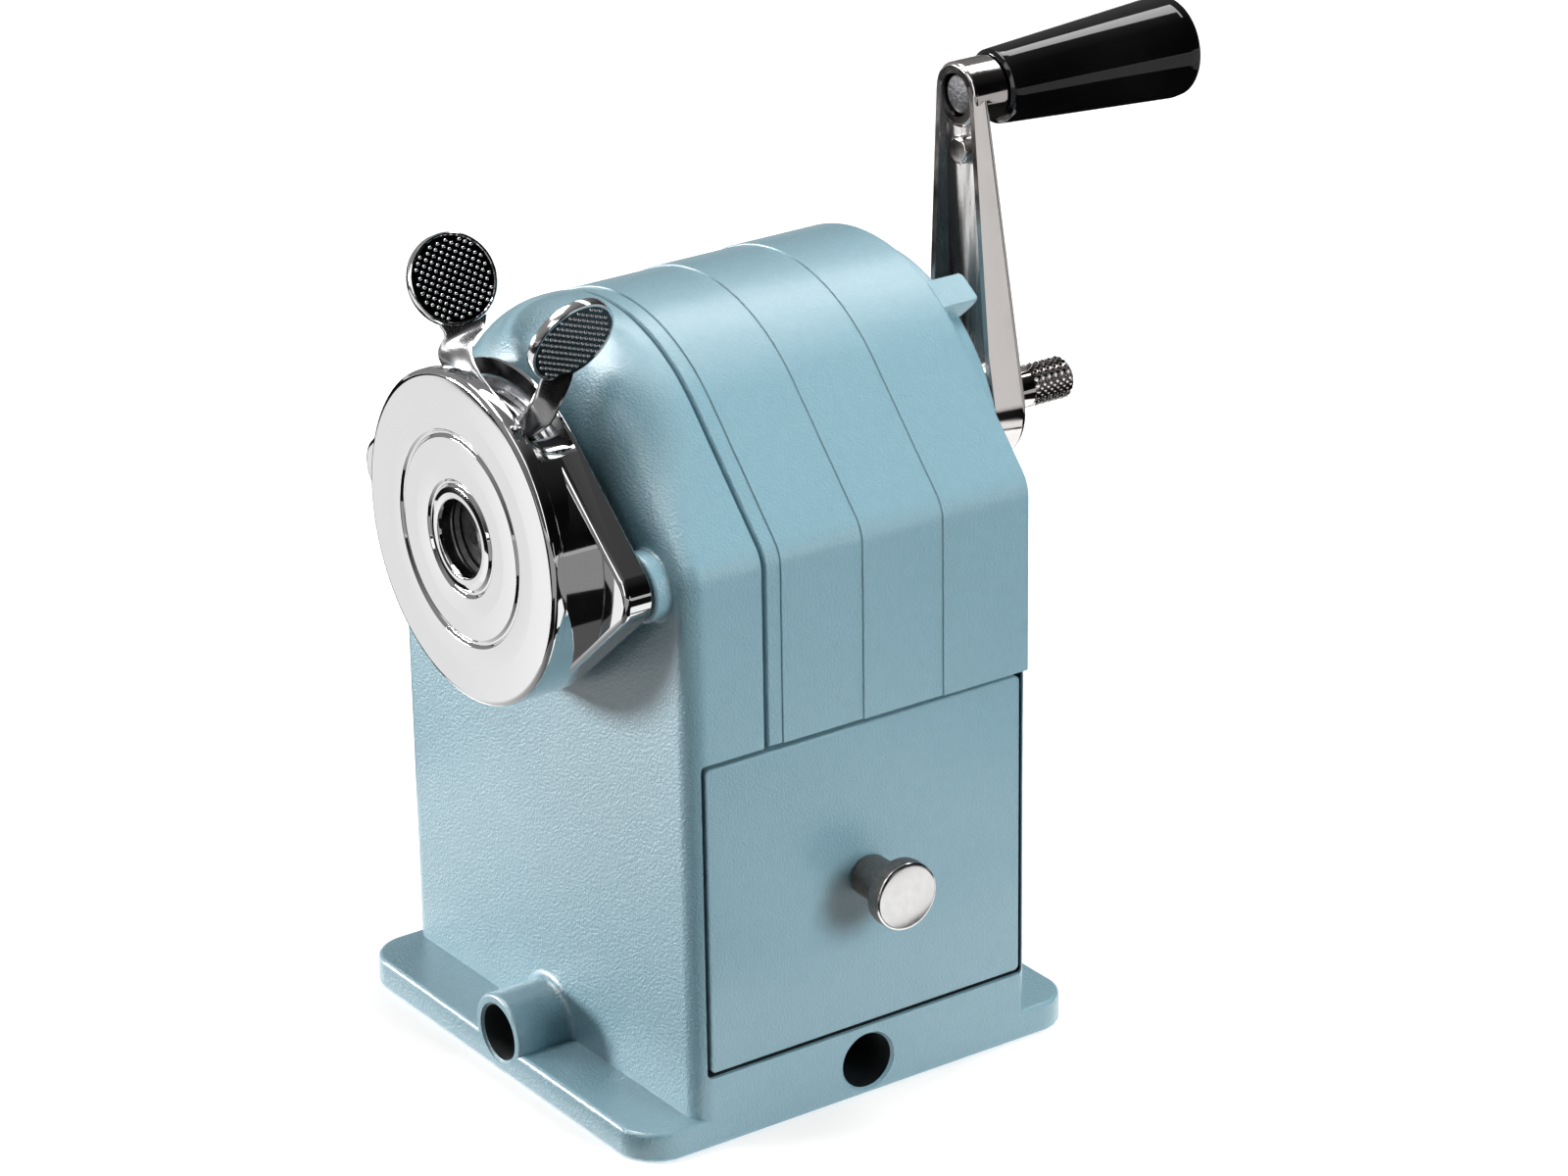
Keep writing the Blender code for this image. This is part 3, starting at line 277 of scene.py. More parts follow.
def lathe(name, profile, centre=(0.0, AXIS), steps=96, facing="Y"):
    """Turns (radius, place along the axis) points round an axis along Y or X."""
    closed = profile[0][0] > 0.001
    rings = []
    for radius, along in profile:
        ring = []
        for i in range(steps):
            angle = 2 * math.pi * i / steps
            a = radius * math.cos(angle)
            b = radius * math.sin(angle)
            if facing == "Y":
                ring.append((centre[0] + a, along, centre[1] + b))
            else:
                ring.append((along, centre[0] + a, centre[1] + b))
        rings.append(ring)
    if closed:
        rings.append(rings[0])
    return loft(name, rings, caps=False)


def drill(name, radius, low, high, centre=(0.0, AXIS), steps=64, facing="Y"):
    """A plain round cutter from low to high along its axis."""
    return lathe(name, [(0, low), (radius, low), (radius, high), (0, high)], centre, steps,
                 facing)


def offset_outline(points, distance):
    """Moves a closed outline inwards by distance."""
    result = []
    count = len(points)
    area = sum(points[i - 1][0] * points[i][1] - points[i][0] * points[i - 1][1]
               for i in range(count))
    turn = 1.0 if area > 0 else -1.0
    for i in range(count):
        here = Vector(points[i])
        one = (here - Vector(points[i - 1])).normalized()
        two = (Vector(points[(i + 1) % count]) - here).normalized()
        first = Vector((-one.y, one.x))
        second = Vector((-two.y, two.x))
        inward = (first + second).normalized() * turn
        share = max(0.5, abs(inward.dot(first)))
        result.append(tuple(here + inward * distance / share))
    return result


def slab(name, outline, low, high, low_r, high_r, facing="Y", steps=4):
    """An outline with thickness and rounded edges, facing along X, Y or Z."""
    layers = []
    for i in range(steps + 1):
        angle = math.pi / 2 * i / steps
        if low_r > 0:
            layers.append((low_r * (1 - math.sin(angle)),
                           low + low_r * (1 - math.cos(angle))))
    if low_r <= 0:
        layers.append((0.0, low))
    if high_r <= 0:
        layers.append((0.0, high))
    for i in range(steps + 1):
        angle = math.pi / 2 * i / steps
        if high_r > 0:
            layers.append((high_r * (1 - math.cos(angle)),
                           high - high_r * (1 - math.sin(angle))))
    rings = []
    for inset, level in layers:
        moved = offset_outline(outline, inset) if inset > 0 else outline
        if facing == "Y":
            rings.append([(u, level, v) for u, v in moved])
        elif facing == "X":
            rings.append([(level, u, v) for u, v in moved])
        else:
            rings.append([(u, v, level) for u, v in moved])
    return loft(name, rings)


def block(name, low, high):
    outline = [(low[0], low[1]), (high[0], low[1]), (high[0], high[1]), (low[0], high[1])]
    return slab(name, outline, low[2], high[2], 0, 0, "Z")


def rounded_box(low, high, radius, steps=8):
    return fillet([(low[0], low[1], radius), (high[0], low[1], radius),
                   (high[0], high[1], radius), (low[0], high[1], radius)], steps, True)


def arc(centre, radius, first, last, count):
    return [(centre[0] + radius * math.cos(math.radians(first + (last - first) * i / count)),
             centre[1] + radius * math.sin(math.radians(first + (last - first) * i / count)))
            for i in range(count + 1)]


def boolean(item, tools, operation):
    for tool in tools:
        step = item.modifiers.new("b", "BOOLEAN")
        step.operation = operation
        step.solver = "EXACT"
        step.object = tool


def cut(item, *tools):
    boolean(item, tools, "DIFFERENCE")


def join(item, *tools):
    boolean(item, tools, "UNION")


def soften(item, width, segments, angle):
    """Rounds the edges where two faces meet at more than the angle."""
    step = item.modifiers.new("edges", "BEVEL")
    step.width = width
    step.segments = segments
    step.limit_method = "ANGLE"
    step.angle_limit = math.radians(angle)


def evaluated_mesh(item):
    bpy.context.view_layer.update()
    source = item.evaluated_get(bpy.context.evaluated_depsgraph_get())
    mesh = bpy.data.meshes.new_from_object(source)
    mesh.transform(item.matrix_world)
    return mesh


def finish(item, name, body, material, replaces, angle, weighted=False):
    """Applies the shape's modifiers and puts it in the scene in metres."""
    mesh = evaluated_mesh(item)
    mesh.shade_smooth()
    mesh.set_sharp_from_angle(angle=math.radians(angle))
    if weighted:
        marked = bpy.data.objects.new(name + "_marked", mesh)
        scratch.objects.link(marked)
        step = marked.modifiers.new("normals", "WEIGHTED_NORMAL")
        step.keep_sharp = True
        step.weight = 60
        mesh = evaluated_mesh(marked)
    mesh.transform(Matrix.Scale(0.001, 4))
    mesh.materials.clear()
    mesh.materials.append(material)
    piece = bpy.data.objects.new(name, mesh)
    bpy.context.scene.collection.objects.link(piece)
    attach(piece, body)
    for node in replaces:
        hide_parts(node)
    return piece


def merge(items, name):
    """One shape from several open or closed ones, without a Boolean."""
    verts = []
    faces = []
    bpy.context.view_layer.update()
    for item in items:
        source = item.evaluated_get(bpy.context.evaluated_depsgraph_get())
        mesh = bpy.data.meshes.new_from_object(source)
        base = len(verts)
        verts += [tuple(item.matrix_world @ v.co) for v in mesh.vertices]
        faces += [tuple(base + i for i in p.vertices) for p in mesh.polygons]
    return loose(name, verts, faces)


def recolour(piece, material, chosen):
    """A second material for the faces that chosen(centre in mm, normal) picks."""
    piece.data.materials.append(material)
    index = len(piece.data.materials) - 1
    for face in piece.data.polygons:
        if chosen(face.center * 1000.0, face.normal):
            face.material_index = index


# ------------------------------------------------------------ body and hood

SLANT = math.atan2(CREASE - AXIS, HALF) + math.acos(ARC_R / math.hypot(HALF, CREASE - AXIS))


def half_outline(foot):
    """Right half of the body's outline: (point, outward normal, front rounding)."""
    side_r = 3.0
    top_r = 10.0
    crease_r = 5.0
    arc_steps = 36
    normal = Vector((math.cos(SLANT), math.sin(SLANT)))
    shoulder = Vector((0.0, AXIS)) + ARC_R * normal
    reach = crease_r * math.tan(SLANT / 2)
    centre = Vector((HALF - crease_r, CREASE - reach))
    rows = [(Vector((HALF, foot)), Vector((1.0, 0.0)), side_r)]
    for i in range(4):
        share = (i + 1) / 5
        level = foot + (CREASE - reach - foot) * share
        rows.append((Vector((HALF, level)), Vector((1.0, 0.0)), side_r))
    for i in range(9):
        angle = SLANT * i / 8
        outward = Vector((math.cos(angle), math.sin(angle)))
        rows.append((centre + crease_r * outward, outward, side_r))
    first = rows[-1][0]
    for i in range(1, 9):
        share = i / 9
        blend = share * share * (3 - 2 * share)
        rows.append((first.lerp(shoulder, share), normal, side_r + (top_r - side_r) * blend))
    for i in range(arc_steps + 1):
        angle = SLANT + (math.pi / 2 - SLANT) * i / arc_steps
        outward = Vector((math.cos(angle), math.sin(angle)))
        rows.append((Vector((0.0, AXIS)) + ARC_R * outward, outward, top_r))
    return rows


def inner_outline(foot, wall):
    """The body's whole outline, moved inwards by the wall's thickness."""
    half = [(p.x, p.y) for p in [row[0] - row[1] * wall for row in half_outline(foot)]]
    return half + [(-u, v) for u, v in reversed(half[:-1])]


def both_sides(rows, depth, level):
    """A ring of points: depth and level may depend on a row's rounding or place."""
    ring = []
    for point, normal, radius in rows:
        moved = point - normal * depth(point, radius)
        ring.append((moved.x, level(point, radius), moved.y))
    return ring + [(-x, y, z) for x, y, z in reversed(ring[:-1])]


def front_shell(foot):
    """The front casting's outside, up to the groove where the hood starts."""
    rows = half_outline(foot)
    rings = []
    for step in range(15):
        angle = math.pi / 2 * step / 14
        rings.append(both_sides(rows, lambda p, r: r * (1 - math.sin(angle)),
                                lambda p, r: FRONT + r * (1 - math.cos(angle))))
    for inset, level in ((0.0, SEAM - 0.75), (0.12, SEAM - 0.5), (0.4, SEAM - 0.42),
                         (1.7, SEAM - 0.4)):
        rings.append(both_sides(rows, lambda p, r: inset, lambda p, r: level))
    return loft("front_shell", rings)


def flare(radius, wall, tip, fillet_r, edge_r):
    """Profile of a boss that grows out of the front wall: (radius, place) points."""
    profile = [(0.0, tip)]
    for i in range(6):
        angle = math.pi / 2 * i / 5
        profile.append((radius - edge_r * (1 - math.sin(angle)),
                        tip + edge_r * (1 - math.cos(angle))))
    for i in range(8):
        angle = math.pi / 2 * i / 7
        profile.append((radius + fillet_r * (1 - math.cos(angle)),
                        wall - fillet_r * (1 - math.sin(angle))))
    return profile + [(radius + fillet_r, wall + 2.0), (0.0, wall + 2.0)]


def tapered(name, low, high, near, far, grow, radius):
    """A cutter along X whose mouth widens by grow at far."""
    rings = []
    for level, extra in ((near, 0.0), (far - 2.0, 0.0), (far - 2.0 + 1.55, 0.0),
                         (far, grow), (far + 1.0, grow)):
        outline = rounded_box((low[0] - extra, low[1] - extra),
                              (high[0] + extra, high[1] + extra), radius + extra)
        rings.append([(level, u, v) for u, v in outline])
    return loft(name, rings)


def body_piece():
    shell = front_shell(1.0)
    lower = fillet([(-HALF, SEAM - 4, 0), (HALF, SEAM - 4, 0), (HALF, REAR, 1.6),
                    (-HALF, REAR, 1.6)], 6, True)
    walls = slab("walls", lower, 1.0, 56.0, 0, 0.25, "Z")
    plate = slab("plate", rounded_box((-HALF + 0.02, -36.5), (HALF - 0.02, 36.5), 6.0, 12),
                 0.0, 4.2, 0.4, 0.7, "Z")
    clamp = lathe("clamp", flare(5.7, FRONT, -36.5, 1.2, 0.5), FRONT_CLAMP, 64)
    trim = block("trim", (-50, -60, -10), (50, 60, 0.0))
    bosses = [lathe("boss", flare(4.75, FRONT, FRONT - 2.4, 0.45, 0.5), (x, AXIS), 48)
              for x in (-BOSS_X, BOSS_X)]
    join(shell, walls, plate, clamp, *bosses)
    upper = slab("upper", inner_outline(12.0, 3.0), FRONT + 3.0, SEAM + 5.0, 0, 0)
    bay = block("bay", (-33.4, FRONT + 3.0, 10.4), (60, WALL_BACK, 54.0))
    open_top = block("open_top", (-33.4, SEAM - 2, 40.0), (33.0, WALL_BACK, 70.0))
    mouth = tapered("mouth", (FRONT + 1.85, 10.4), (REAR - 0.9, 56.2), 33.2, HALF, 0.12, 0.7)
    roof = block("roof", (33.0, SEAM - 0.4, 55.0), (40.0, REAR - 0.9, 58.0))
    cut(shell, trim, upper, bay, open_top, mouth, roof)
    hole = lathe("hole", [(0, -60), (4.4, -60), (4.4, -36.4), (4.05, -36.1), (4.05, -19.0),
                          (0, -19.0)], FRONT_CLAMP, 48)
    side = lathe("side", [(0, 60), (4.35, 60), (4.35, 36.25), (4.0, 35.9), (4.0, 25.0),
                          (0, 25.0)], SIDE_CLAMP, 48, "X")
    rods = [drill("rod", 3.3, -50, -20, (x, AXIS), 32) for x in (-ROD_X, ROD_X)]
    bore = drill("bore", 9.3, -60, -20)
    pad = block("pad", (-23, -31, -1), (23, 31, 0.9))
    cut(shell, hole, side, bore, pad, *rods)
    piece = finish(shell, "body_shell", "body", PAINT, ("body_casting",),
                   30, True)
    # Faces inside the clamp holes and the drawer's opening are painted near black: painted
    # shade.
    recolour(piece, SHADE_CASTING, painted_shade_inside)


def painted_shade_inside(centre, normal):
    """Whether a face is inside a clamp hole or the drawer's opening, which are painted near
    black as painted shade.
    """
    x, y, z = centre
    front = (math.hypot(x - FRONT_CLAMP[0], z - FRONT_CLAMP[1]) < 4.2
             and -36.0 < y < -18.0)
    side = math.hypot(y - SIDE_CLAMP[0], z - SIDE_CLAMP[1]) < 4.2 and 24.0 < x < 35.8
    mouth = (33.0 < x < 35.7 and -26.2 < y < REAR - 0.5 and 10.2 < z < 56.6
             and abs(normal.x) < 0.5)
    return front or side or mouth


def hood_piece():
    rows = half_outline(HOOD_FOOT)
    bands = [(SEAM + 0.42, -0.30), (SEAM + 2.55, -0.05), (SEAM + 15.5, 0.17),
             (SEAM + 28.5, 0.39)]
    rings = []

    def ring(level, proud):
        rings.append(both_sides(rows, lambda p, r: -proud, lambda p, r: level))

    ring(SEAM - 0.30, -1.5)
    ring(SEAM + 0.30, -1.5)
    ring(SEAM + 0.32, -0.62)
    ring(SEAM + 0.50, -0.36)
    for i, (start, proud) in enumerate(bands):
        ring(start + (0.35 if i == 0 else 0.10), proud)
        if i < 3:
            end = bands[i + 1][0]
            ring((start + end) / 2, proud)
            ring(end, proud)
            ring(end + 0.02, proud + (bands[i + 1][1] - proud) * 0.6)
    for i in range(5):
        angle = math.pi / 2 * i / 4
        ring(REAR - 0.7 * (1 - math.sin(angle)), 0.39 - 0.7 * (1 - math.cos(angle)))
    shell = loft("hood_shell", rings)
    boss_r = 26.5
    edge = [(boss_r - 1.0 + math.cos(math.pi / 2 * i / 5),
             REAR + 2.6 + math.sin(math.pi / 2 * i / 5)) for i in range(6)]
    boss = lathe("rear_boss", [(0, REAR - 1), (boss_r, REAR - 1), *edge, (0, REAR + 3.6)],
                 steps=128)
    foot = block("foot", (-60, -60, 30), (60, 60, HOOD_FOOT))
    join(shell, boss, lug_shape())
    hollow = slab("hollow", inner_outline(40.0, 2.7), SEAM - 5, WALL_BACK, 0, 0)
    cut(shell, foot, hollow, drill("bore2", 7.2, 0, 60))
    finish(shell, "hood_shell", "body", PAINT, ("hood",), 30, True)


def lug_shape():
    """The cast lug on the rear boss's upper right."""
    rings = []
    turn = math.radians(33)
    up = Vector((math.sin(turn), 0.0, math.cos(turn)))
    side = Vector((math.cos(turn), 0.0, -math.sin(turn)))
    base = Vector((0.0, 0.0, AXIS))
    for radius, end, width in ((20.5, REAR + 1.0, 3.0), (23.5, REAR + 1.3, 2.9),
                               (25.5, REAR + 2.9, 2.8), (27.0, REAR + 4.6, 2.7),
                               (28.2, REAR + 5.6, 2.6), (28.75, REAR + 5.75, 2.5),
                               (28.95, REAR + 5.6, 2.3)):
        ring = []
        outline = fillet([(-width, REAR - 2, 0), (width, REAR - 2, 0),
                          (width, end, 0.8), (-width, end, 0.8)], 4, True)
        for across, level in outline:
            ring.append(base + up * radius + side * across + Vector((0, level, 0)))
        rings.append(ring)
    return loft("lug", rings)


# ------------------------------------------------------------ drawer

def drawer_pieces():
    low = (FRONT + 2.32, 11.0)
    high = (REAR - 1.4, 55.6)
    panel = slab("panel", rounded_box(low, high, 0.8, 5), HALF - 2.4, HALF, 0.0, 0.35, "X")
    cut(panel, drill("panel_hole", 1.8, 20, 60, KNOB, 32, "X"))
    finish(panel, "drawer_panel", "drawer", PAINT, ("drawer_front",), 30)
    foot = HALF + 0.25
    end = 45.5
    profile = [(0.0, end - 0.02), (0.5, end - 0.02)]
    for i in range(23):
        radius = 0.6 + 3.96 * i / 22
        drop = 0.02 + 0.2 * (radius / 4.8) ** 2.6
        groove = 0.012 if i % 2 else 0.0
        profile.append((radius, end - drop - groove))
    profile += [(4.74, end - 0.3), (4.87, end - 0.5), (4.9, end - 0.8), (4.9, end - 2.3),
                (4.82, end - 2.6), (4.6, end - 2.85), (4.2, end - 3.05), (3.6, end - 3.3),
                (3.2, end - 3.7), (3.02, end - 4.3), (3.0, foot + 0.3), (2.85, foot),
                (1.8, foot), (1.8, foot + 5.0), (0.0, foot + 5.0)]
    knob = lathe("knob", profile, KNOB, 96, "X")
    piece = finish(knob, "pull_knob", "drawer", TURNED, ("drawer_knob",), 40)
    recolour(piece, STEM, lambda centre, normal: centre.x < end - 0.6)


# ------------------------------------------------------------ pencil holder

def lobed(main_r, lobe_x, lobe_r):
    """A circle with a smaller round lobe on either side, joined by straight lines."""
    steps = 64
    lean = math.degrees(math.acos((main_r - lobe_r) / lobe_x))
    points = arc((lobe_x, AXIS), lobe_r, -lean, lean, 16)
    points += arc((0.0, AXIS), main_r, lean, 180 - lean, steps)[1:-1]
    points += arc((-lobe_x, AXIS), lobe_r, 180 - lean, 180 + lean, 16)
    points += arc((0.0, AXIS), main_r, 180 + lean, 360 - lean, steps)[1:-1]
    return points


def holder_pieces():
    slot_front = -37.0
    slot_back = -31.1
    flange = slab("flange", lobed(22.8, ROD_X, 4.3), -34.5, -30.3, 0.85, 0.3, steps=8)
    cup = [(0.0, -33.0), (22.95, -33.0), (22.95, -37.38), (22.9, -37.42), (0.0, -37.42)]
    rim = lathe("cup", cup, steps=128)
    slot = slab("slot", [(-27, 96.6), (27, 96.6), (27, 125), (-27, 125)],
                slot_front, slot_back, 0, 0)
    hollow = drill("hollow", 20.6, slot_front, 0, steps=96)
    mouth = drill("mouth2", 5.65, -60, 0)
    sockets = [drill("socket", 2.4, -33.4, 0, (x, AXIS), 32) for x in (-ROD_X, ROD_X)]
    eases = [slab("ease", [(side * x, z) for x, z in
                           ((14.5, 96.65), (16.8, 95.62), (18.4, 97.2), (15.4, 98.6))],
                  slot_front, slot_back, 0, 0) for side in (1, -1)]
    join(flange, rim)
    cut(flange, hollow, slot, mouth, *sockets, *eases)
    soften(flange, 0.2, 2, 50)
    shell = finish(flange, "holder_shell", "holder", CHROME, ("holder_housing",),
                   35, True)
    # The slot's back wall is painted near black: painted shade.
    recolour(shell, SHADE_METAL, lambda centre, normal: (abs(centre.y - slot_back) < 0.1
                                                  and normal.y < -0.9 and centre.z > 96.6))

    front = -39.4
    path = [(22.0, front + 1.96, 0.0), (23.05, front + 1.96, 0.05), (23.05, front + 0.45, 0.5),
            (22.4, front + 0.02, 0.8), (18.0, front - 0.04, 3.0), (15.0, front + 0.02, 0.25),
            (14.62, front + 0.36, 0.2), (14.28, front + 0.34, 0.2), (13.9, front + 0.06, 0.25),
            (10.8, front + 0.02, 3.0), (8.15, front + 0.12, 0.25), (7.8, front + 0.48, 0.2),
            (7.46, front + 0.46, 0.2), (7.1, front + 0.12, 0.25),
            (6.3, front - 0.05, 0.5), (5.45, front + 0.03, 0.3),
            (5.25, front + 0.5, 0.2), (5.25, front + 1.9, 0.0)]
    face = lathe("face", fillet(path, 5), steps=144)
    cap = finish(face, "holder_cap", "holder", CHROME, ("holder_face",), 50)
    # The pencil mouth's bore is painted near black: painted shade.
    recolour(cap, SHADE_METAL, lambda centre, normal: (
        math.hypot(centre.x, centre.z - AXIS) < 5.3 and abs(normal.y) < 0.5))


def smooth_path(stations, count):
    """Catmull-Rom through rows of numbers."""
    rows = [stations[0]] + list(stations) + [stations[-1]]
    result = []
    spans = len(stations) - 1
    for step in range(count + 1):
        place = spans * step / count
        i = min(int(place), spans - 1)
        t = place - i
        a, b, c, d = rows[i], rows[i + 1], rows[i + 2], rows[i + 3]
        result.append([0.5 * (2 * q + (r - p) * t + (2 * p - 5 * q + 4 * r - s) * t * t
                              + (3 * q - p - 3 * r + s) * t ** 3)
                       for p, q, r, s in zip(a, b, c, d)])
    return result


def strap(name, sign, stations):
    """The lever's arm: rows of x, height, y, twist, width, thickness, lean, dish."""
    rings = []
    for x, height, y, twist, width, thick, lean, dish in smooth_path(stations, 36):
        centre = Vector((sign * x, y, AXIS + height))
        turn = math.radians(twist)
        slope = math.radians(lean)
        across = Vector((-sign * math.sin(turn) * math.cos(slope), math.cos(turn),
                         math.sin(turn) * math.sin(slope)))
        along = Vector((sign * math.sin(slope), 0.0, math.cos(slope)))
        through = across.cross(along).normalized()
        half_w = width / 2
        half_t = thick / 2
        outline = []
        for i in range(24):
            angle = 2 * math.pi * i / 24
            u = math.cos(angle)
            v = math.sin(angle)
            outline.append((half_w * math.copysign(abs(u) ** 0.9, u),
                            half_t * math.copysign(abs(v) ** 1.1, v) + dish * u * u))
        rings.append([centre + across * u + through * v for u, v in outline])
    return loft(name, rings)


def pad_place(sign):
    """A finger pad's centre and the direction it faces."""
    return (Vector((sign * PAD_X, FRONT - 2.45, AXIS + PAD_HEIGHT)),
            Vector((-sign * PAD_HEIGHT, -2.5, PAD_X)).normalized())


def pad_shape(name, sign):
    """A round finger pad with a bevelled rim and pyramids on both faces."""
    centre, facing = pad_place(sign)
    up = Vector((sign * PAD_X, 0.0, PAD_HEIGHT)).normalized()
    up = (up - facing * up.dot(facing)).normalized()
    across = facing.cross(up)
    half = 0.75
    edge = [(0.0, half - 0.12), (5.9, half - 0.12), (6.0, half), (PAD_R - 0.2, half),
            (PAD_R - 0.06, half - 0.1), (PAD_R, half - 0.28)]
    edge += [(r, -h) for r, h in reversed(edge)]
    steps = 64
    turns = [2 * math.pi * i / steps for i in range(steps)]
    disc = loft(name + "_disc", [[centre + facing * h + up * (r * math.cos(turn))
                                  + across * (r * math.sin(turn)) for turn in turns]
                                 for r, h in edge], caps=False)
    verts = []
    faces = []
    pitch = 0.9
    tilt = math.radians(34 if sign < 0 else -25)
    tiers = ((0.29, -0.02), (0.24, 0.14), (0.14, 0.23))
    for side in (1, -1):
        for a in range(-9, 10):
            for b in range(-9, 10):
                u = (a * math.cos(tilt) - b * math.sin(tilt)) * pitch
                v = (a * math.sin(tilt) + b * math.cos(tilt)) * pitch
                if math.hypot(u, v) > 5.5:
                    continue
                base = len(verts)
                spot = centre + across * u + up * v
                for reach, lift in tiers:
                    level = facing * side * (half - 0.12 + lift)
                    for i in range(8):
                        angle = math.pi / 4 * (i + 0.5)
                        grow = 1.0 + 0.14 * (i % 4 in (0, 3))
                        verts.append(spot + level + across * (reach * grow * math.cos(angle))
                                     + up * (reach * math.sin(angle)))
                verts.append(spot + facing * side * (half + 0.16))
                pyramid = [(base + row + i, base + row + (i + 1) % 8,
                            base + row + 8 + (i + 1) % 8, base + row + 8 + i)
                           for row in (0, 8) for i in range(8)]
                pyramid += [(base + 16 + i, base + 16 + (i + 1) % 8, base + 24)
                            for i in range(8)]
                faces += [face if side < 0 else face[::-1] for face in pyramid]
    return disc, loose(name + "_knurl", verts, faces)


def ring_shape(name, low, high, inner, outer):
    """A flat ring with rounded edges."""
    edge = 0.25
    profile = fillet([(inner, low, edge), (outer, low, edge), (outer, high, edge),
                      (inner, high, edge)], 3, True)
    return lathe(name, profile, steps=96)


def dress_lever(piece, sign):
    """Between the knurls the pad is painted near black for its dark reflections, as painted
    shade; the arm gets a rougher chrome whose darker tone is painted shade too.
    """
    middle, facing = pad_place(sign)

    def between_knurls(centre, normal):
        away = centre - middle
        return (abs(away.dot(facing)) < 0.70 and abs(normal.dot(facing)) > 0.98
                and away.length < 5.95)

    def on_arm(centre, normal):
        return (math.hypot(centre.x, centre.z - AXIS) > 19.4
                and (centre - middle).length > PAD_R + 0.15)

    # The pad between its knurls is painted near black: painted shade for its dark reflections.
    recolour(piece, SHADE_METAL, between_knurls)
    # The arm takes the darker copy of the chrome: painted shade on its highlights.
    recolour(piece, NECK, on_arm)


def lever_pieces():
    rear_y = -32.5
    front_y = -35.7
    left = [(2.0, 15.0, rear_y, 90, 12.0, 1.6, 6, 0.0),
            (4.5, 17.6, rear_y - 0.3, 88, 8.4, 1.5, 20, 0.1),
            (7.4, 20.2, rear_y - 0.7, 80, 6.0, 1.4, 34, 0.2),
            (9.8, 22.6, rear_y - 0.1, 46, 5.4, 1.5, 34, 0.45),
            (11.3, 23.9, FRONT - 2.9, 12, 5.8, 1.5, 26, 0.4),
            (12.08, 25.25, FRONT - 2.45, 4.3, 7.2, 1.4, 25.6, 0.0)]
    right = [(9.4, 14.6, front_y, -90, 5.6, 1.6, 28, 0.0),
             (9.5, 17.2, front_y + 0.6, -86, 4.2, 1.6, 26, 0.1),
             (12.0, 19.8, front_y + 1.9, -62, 4.1, 1.6, 20, 0.3),
             (12.8, 22.6, front_y + 3.0, -30, 4.0, 1.6, 14, 0.3),
             (12.08, 25.25, FRONT - 2.9, 4.3, 5.2, 1.4, 25.6, 0.0)]
    for name, sign, y, rows in (("left", -1, rear_y, left), ("right", 1, front_y, right)):
        parts = [ring_shape(name + "_ring", y - 1.0, y + 1.0, 13.4, 19.2),
                 strap(name + "_strap", sign, rows), *pad_shape(name, sign)]
        piece = finish(merge(parts, name), name + "_squeeze_lever", name + "_lever", LEVER,
                       ("lever_" + name,), 34)
        dress_lever(piece, sign)


# ------------------------------------------------------------ crank

ARM = math.radians(-6.6)     # the arm leans to the left of upright
ARM_BACK = REAR + 21.1       # rear edge of the channel
ARM_LENGTH = 43.8            # crank axis to handle axle


def arm_point(distance):
    """x and z of a place on the arm's middle line."""
    return distance * math.sin(ARM), AXIS + distance * math.cos(ARM)


def arm_outline(hub_r, top_r):
    """Two circles, at the hub and at the handle, joined by straight sides."""
    lean = math.degrees(math.asin((hub_r - top_r) / ARM_LENGTH))
    up = 90 - math.degrees(ARM)
    points = arc(arm_point(0.0), hub_r, up + 90 - lean, up + 270 + lean, 40)
    points += arc(arm_point(ARM_LENGTH), top_r, up - 90 + lean, up + 90 - lean, 28)
    return points


def drafted(name, outline, layers):
    """An outline whose inset changes along Y."""
    return loft(name, [[(u, level, v) for u, v in offset_outline(outline, inset)]
                       for inset, level in layers])


def inside_channel(centre, normal):
    """Whether a face is on the inner walls or the web of the crank's channel."""
    off = centre.x * math.cos(ARM) - (centre.z - AXIS) * math.sin(ARM)
    lean = normal.x * math.cos(ARM) - normal.z * math.sin(ARM)
    wall = off * lean < 0 and abs(lean) > 0.5 and centre.y < ARM_BACK - 1.2
    web = normal.y < -0.9 and abs(centre.y - ARM_BACK + 1.3) < 0.1
    return wall or web


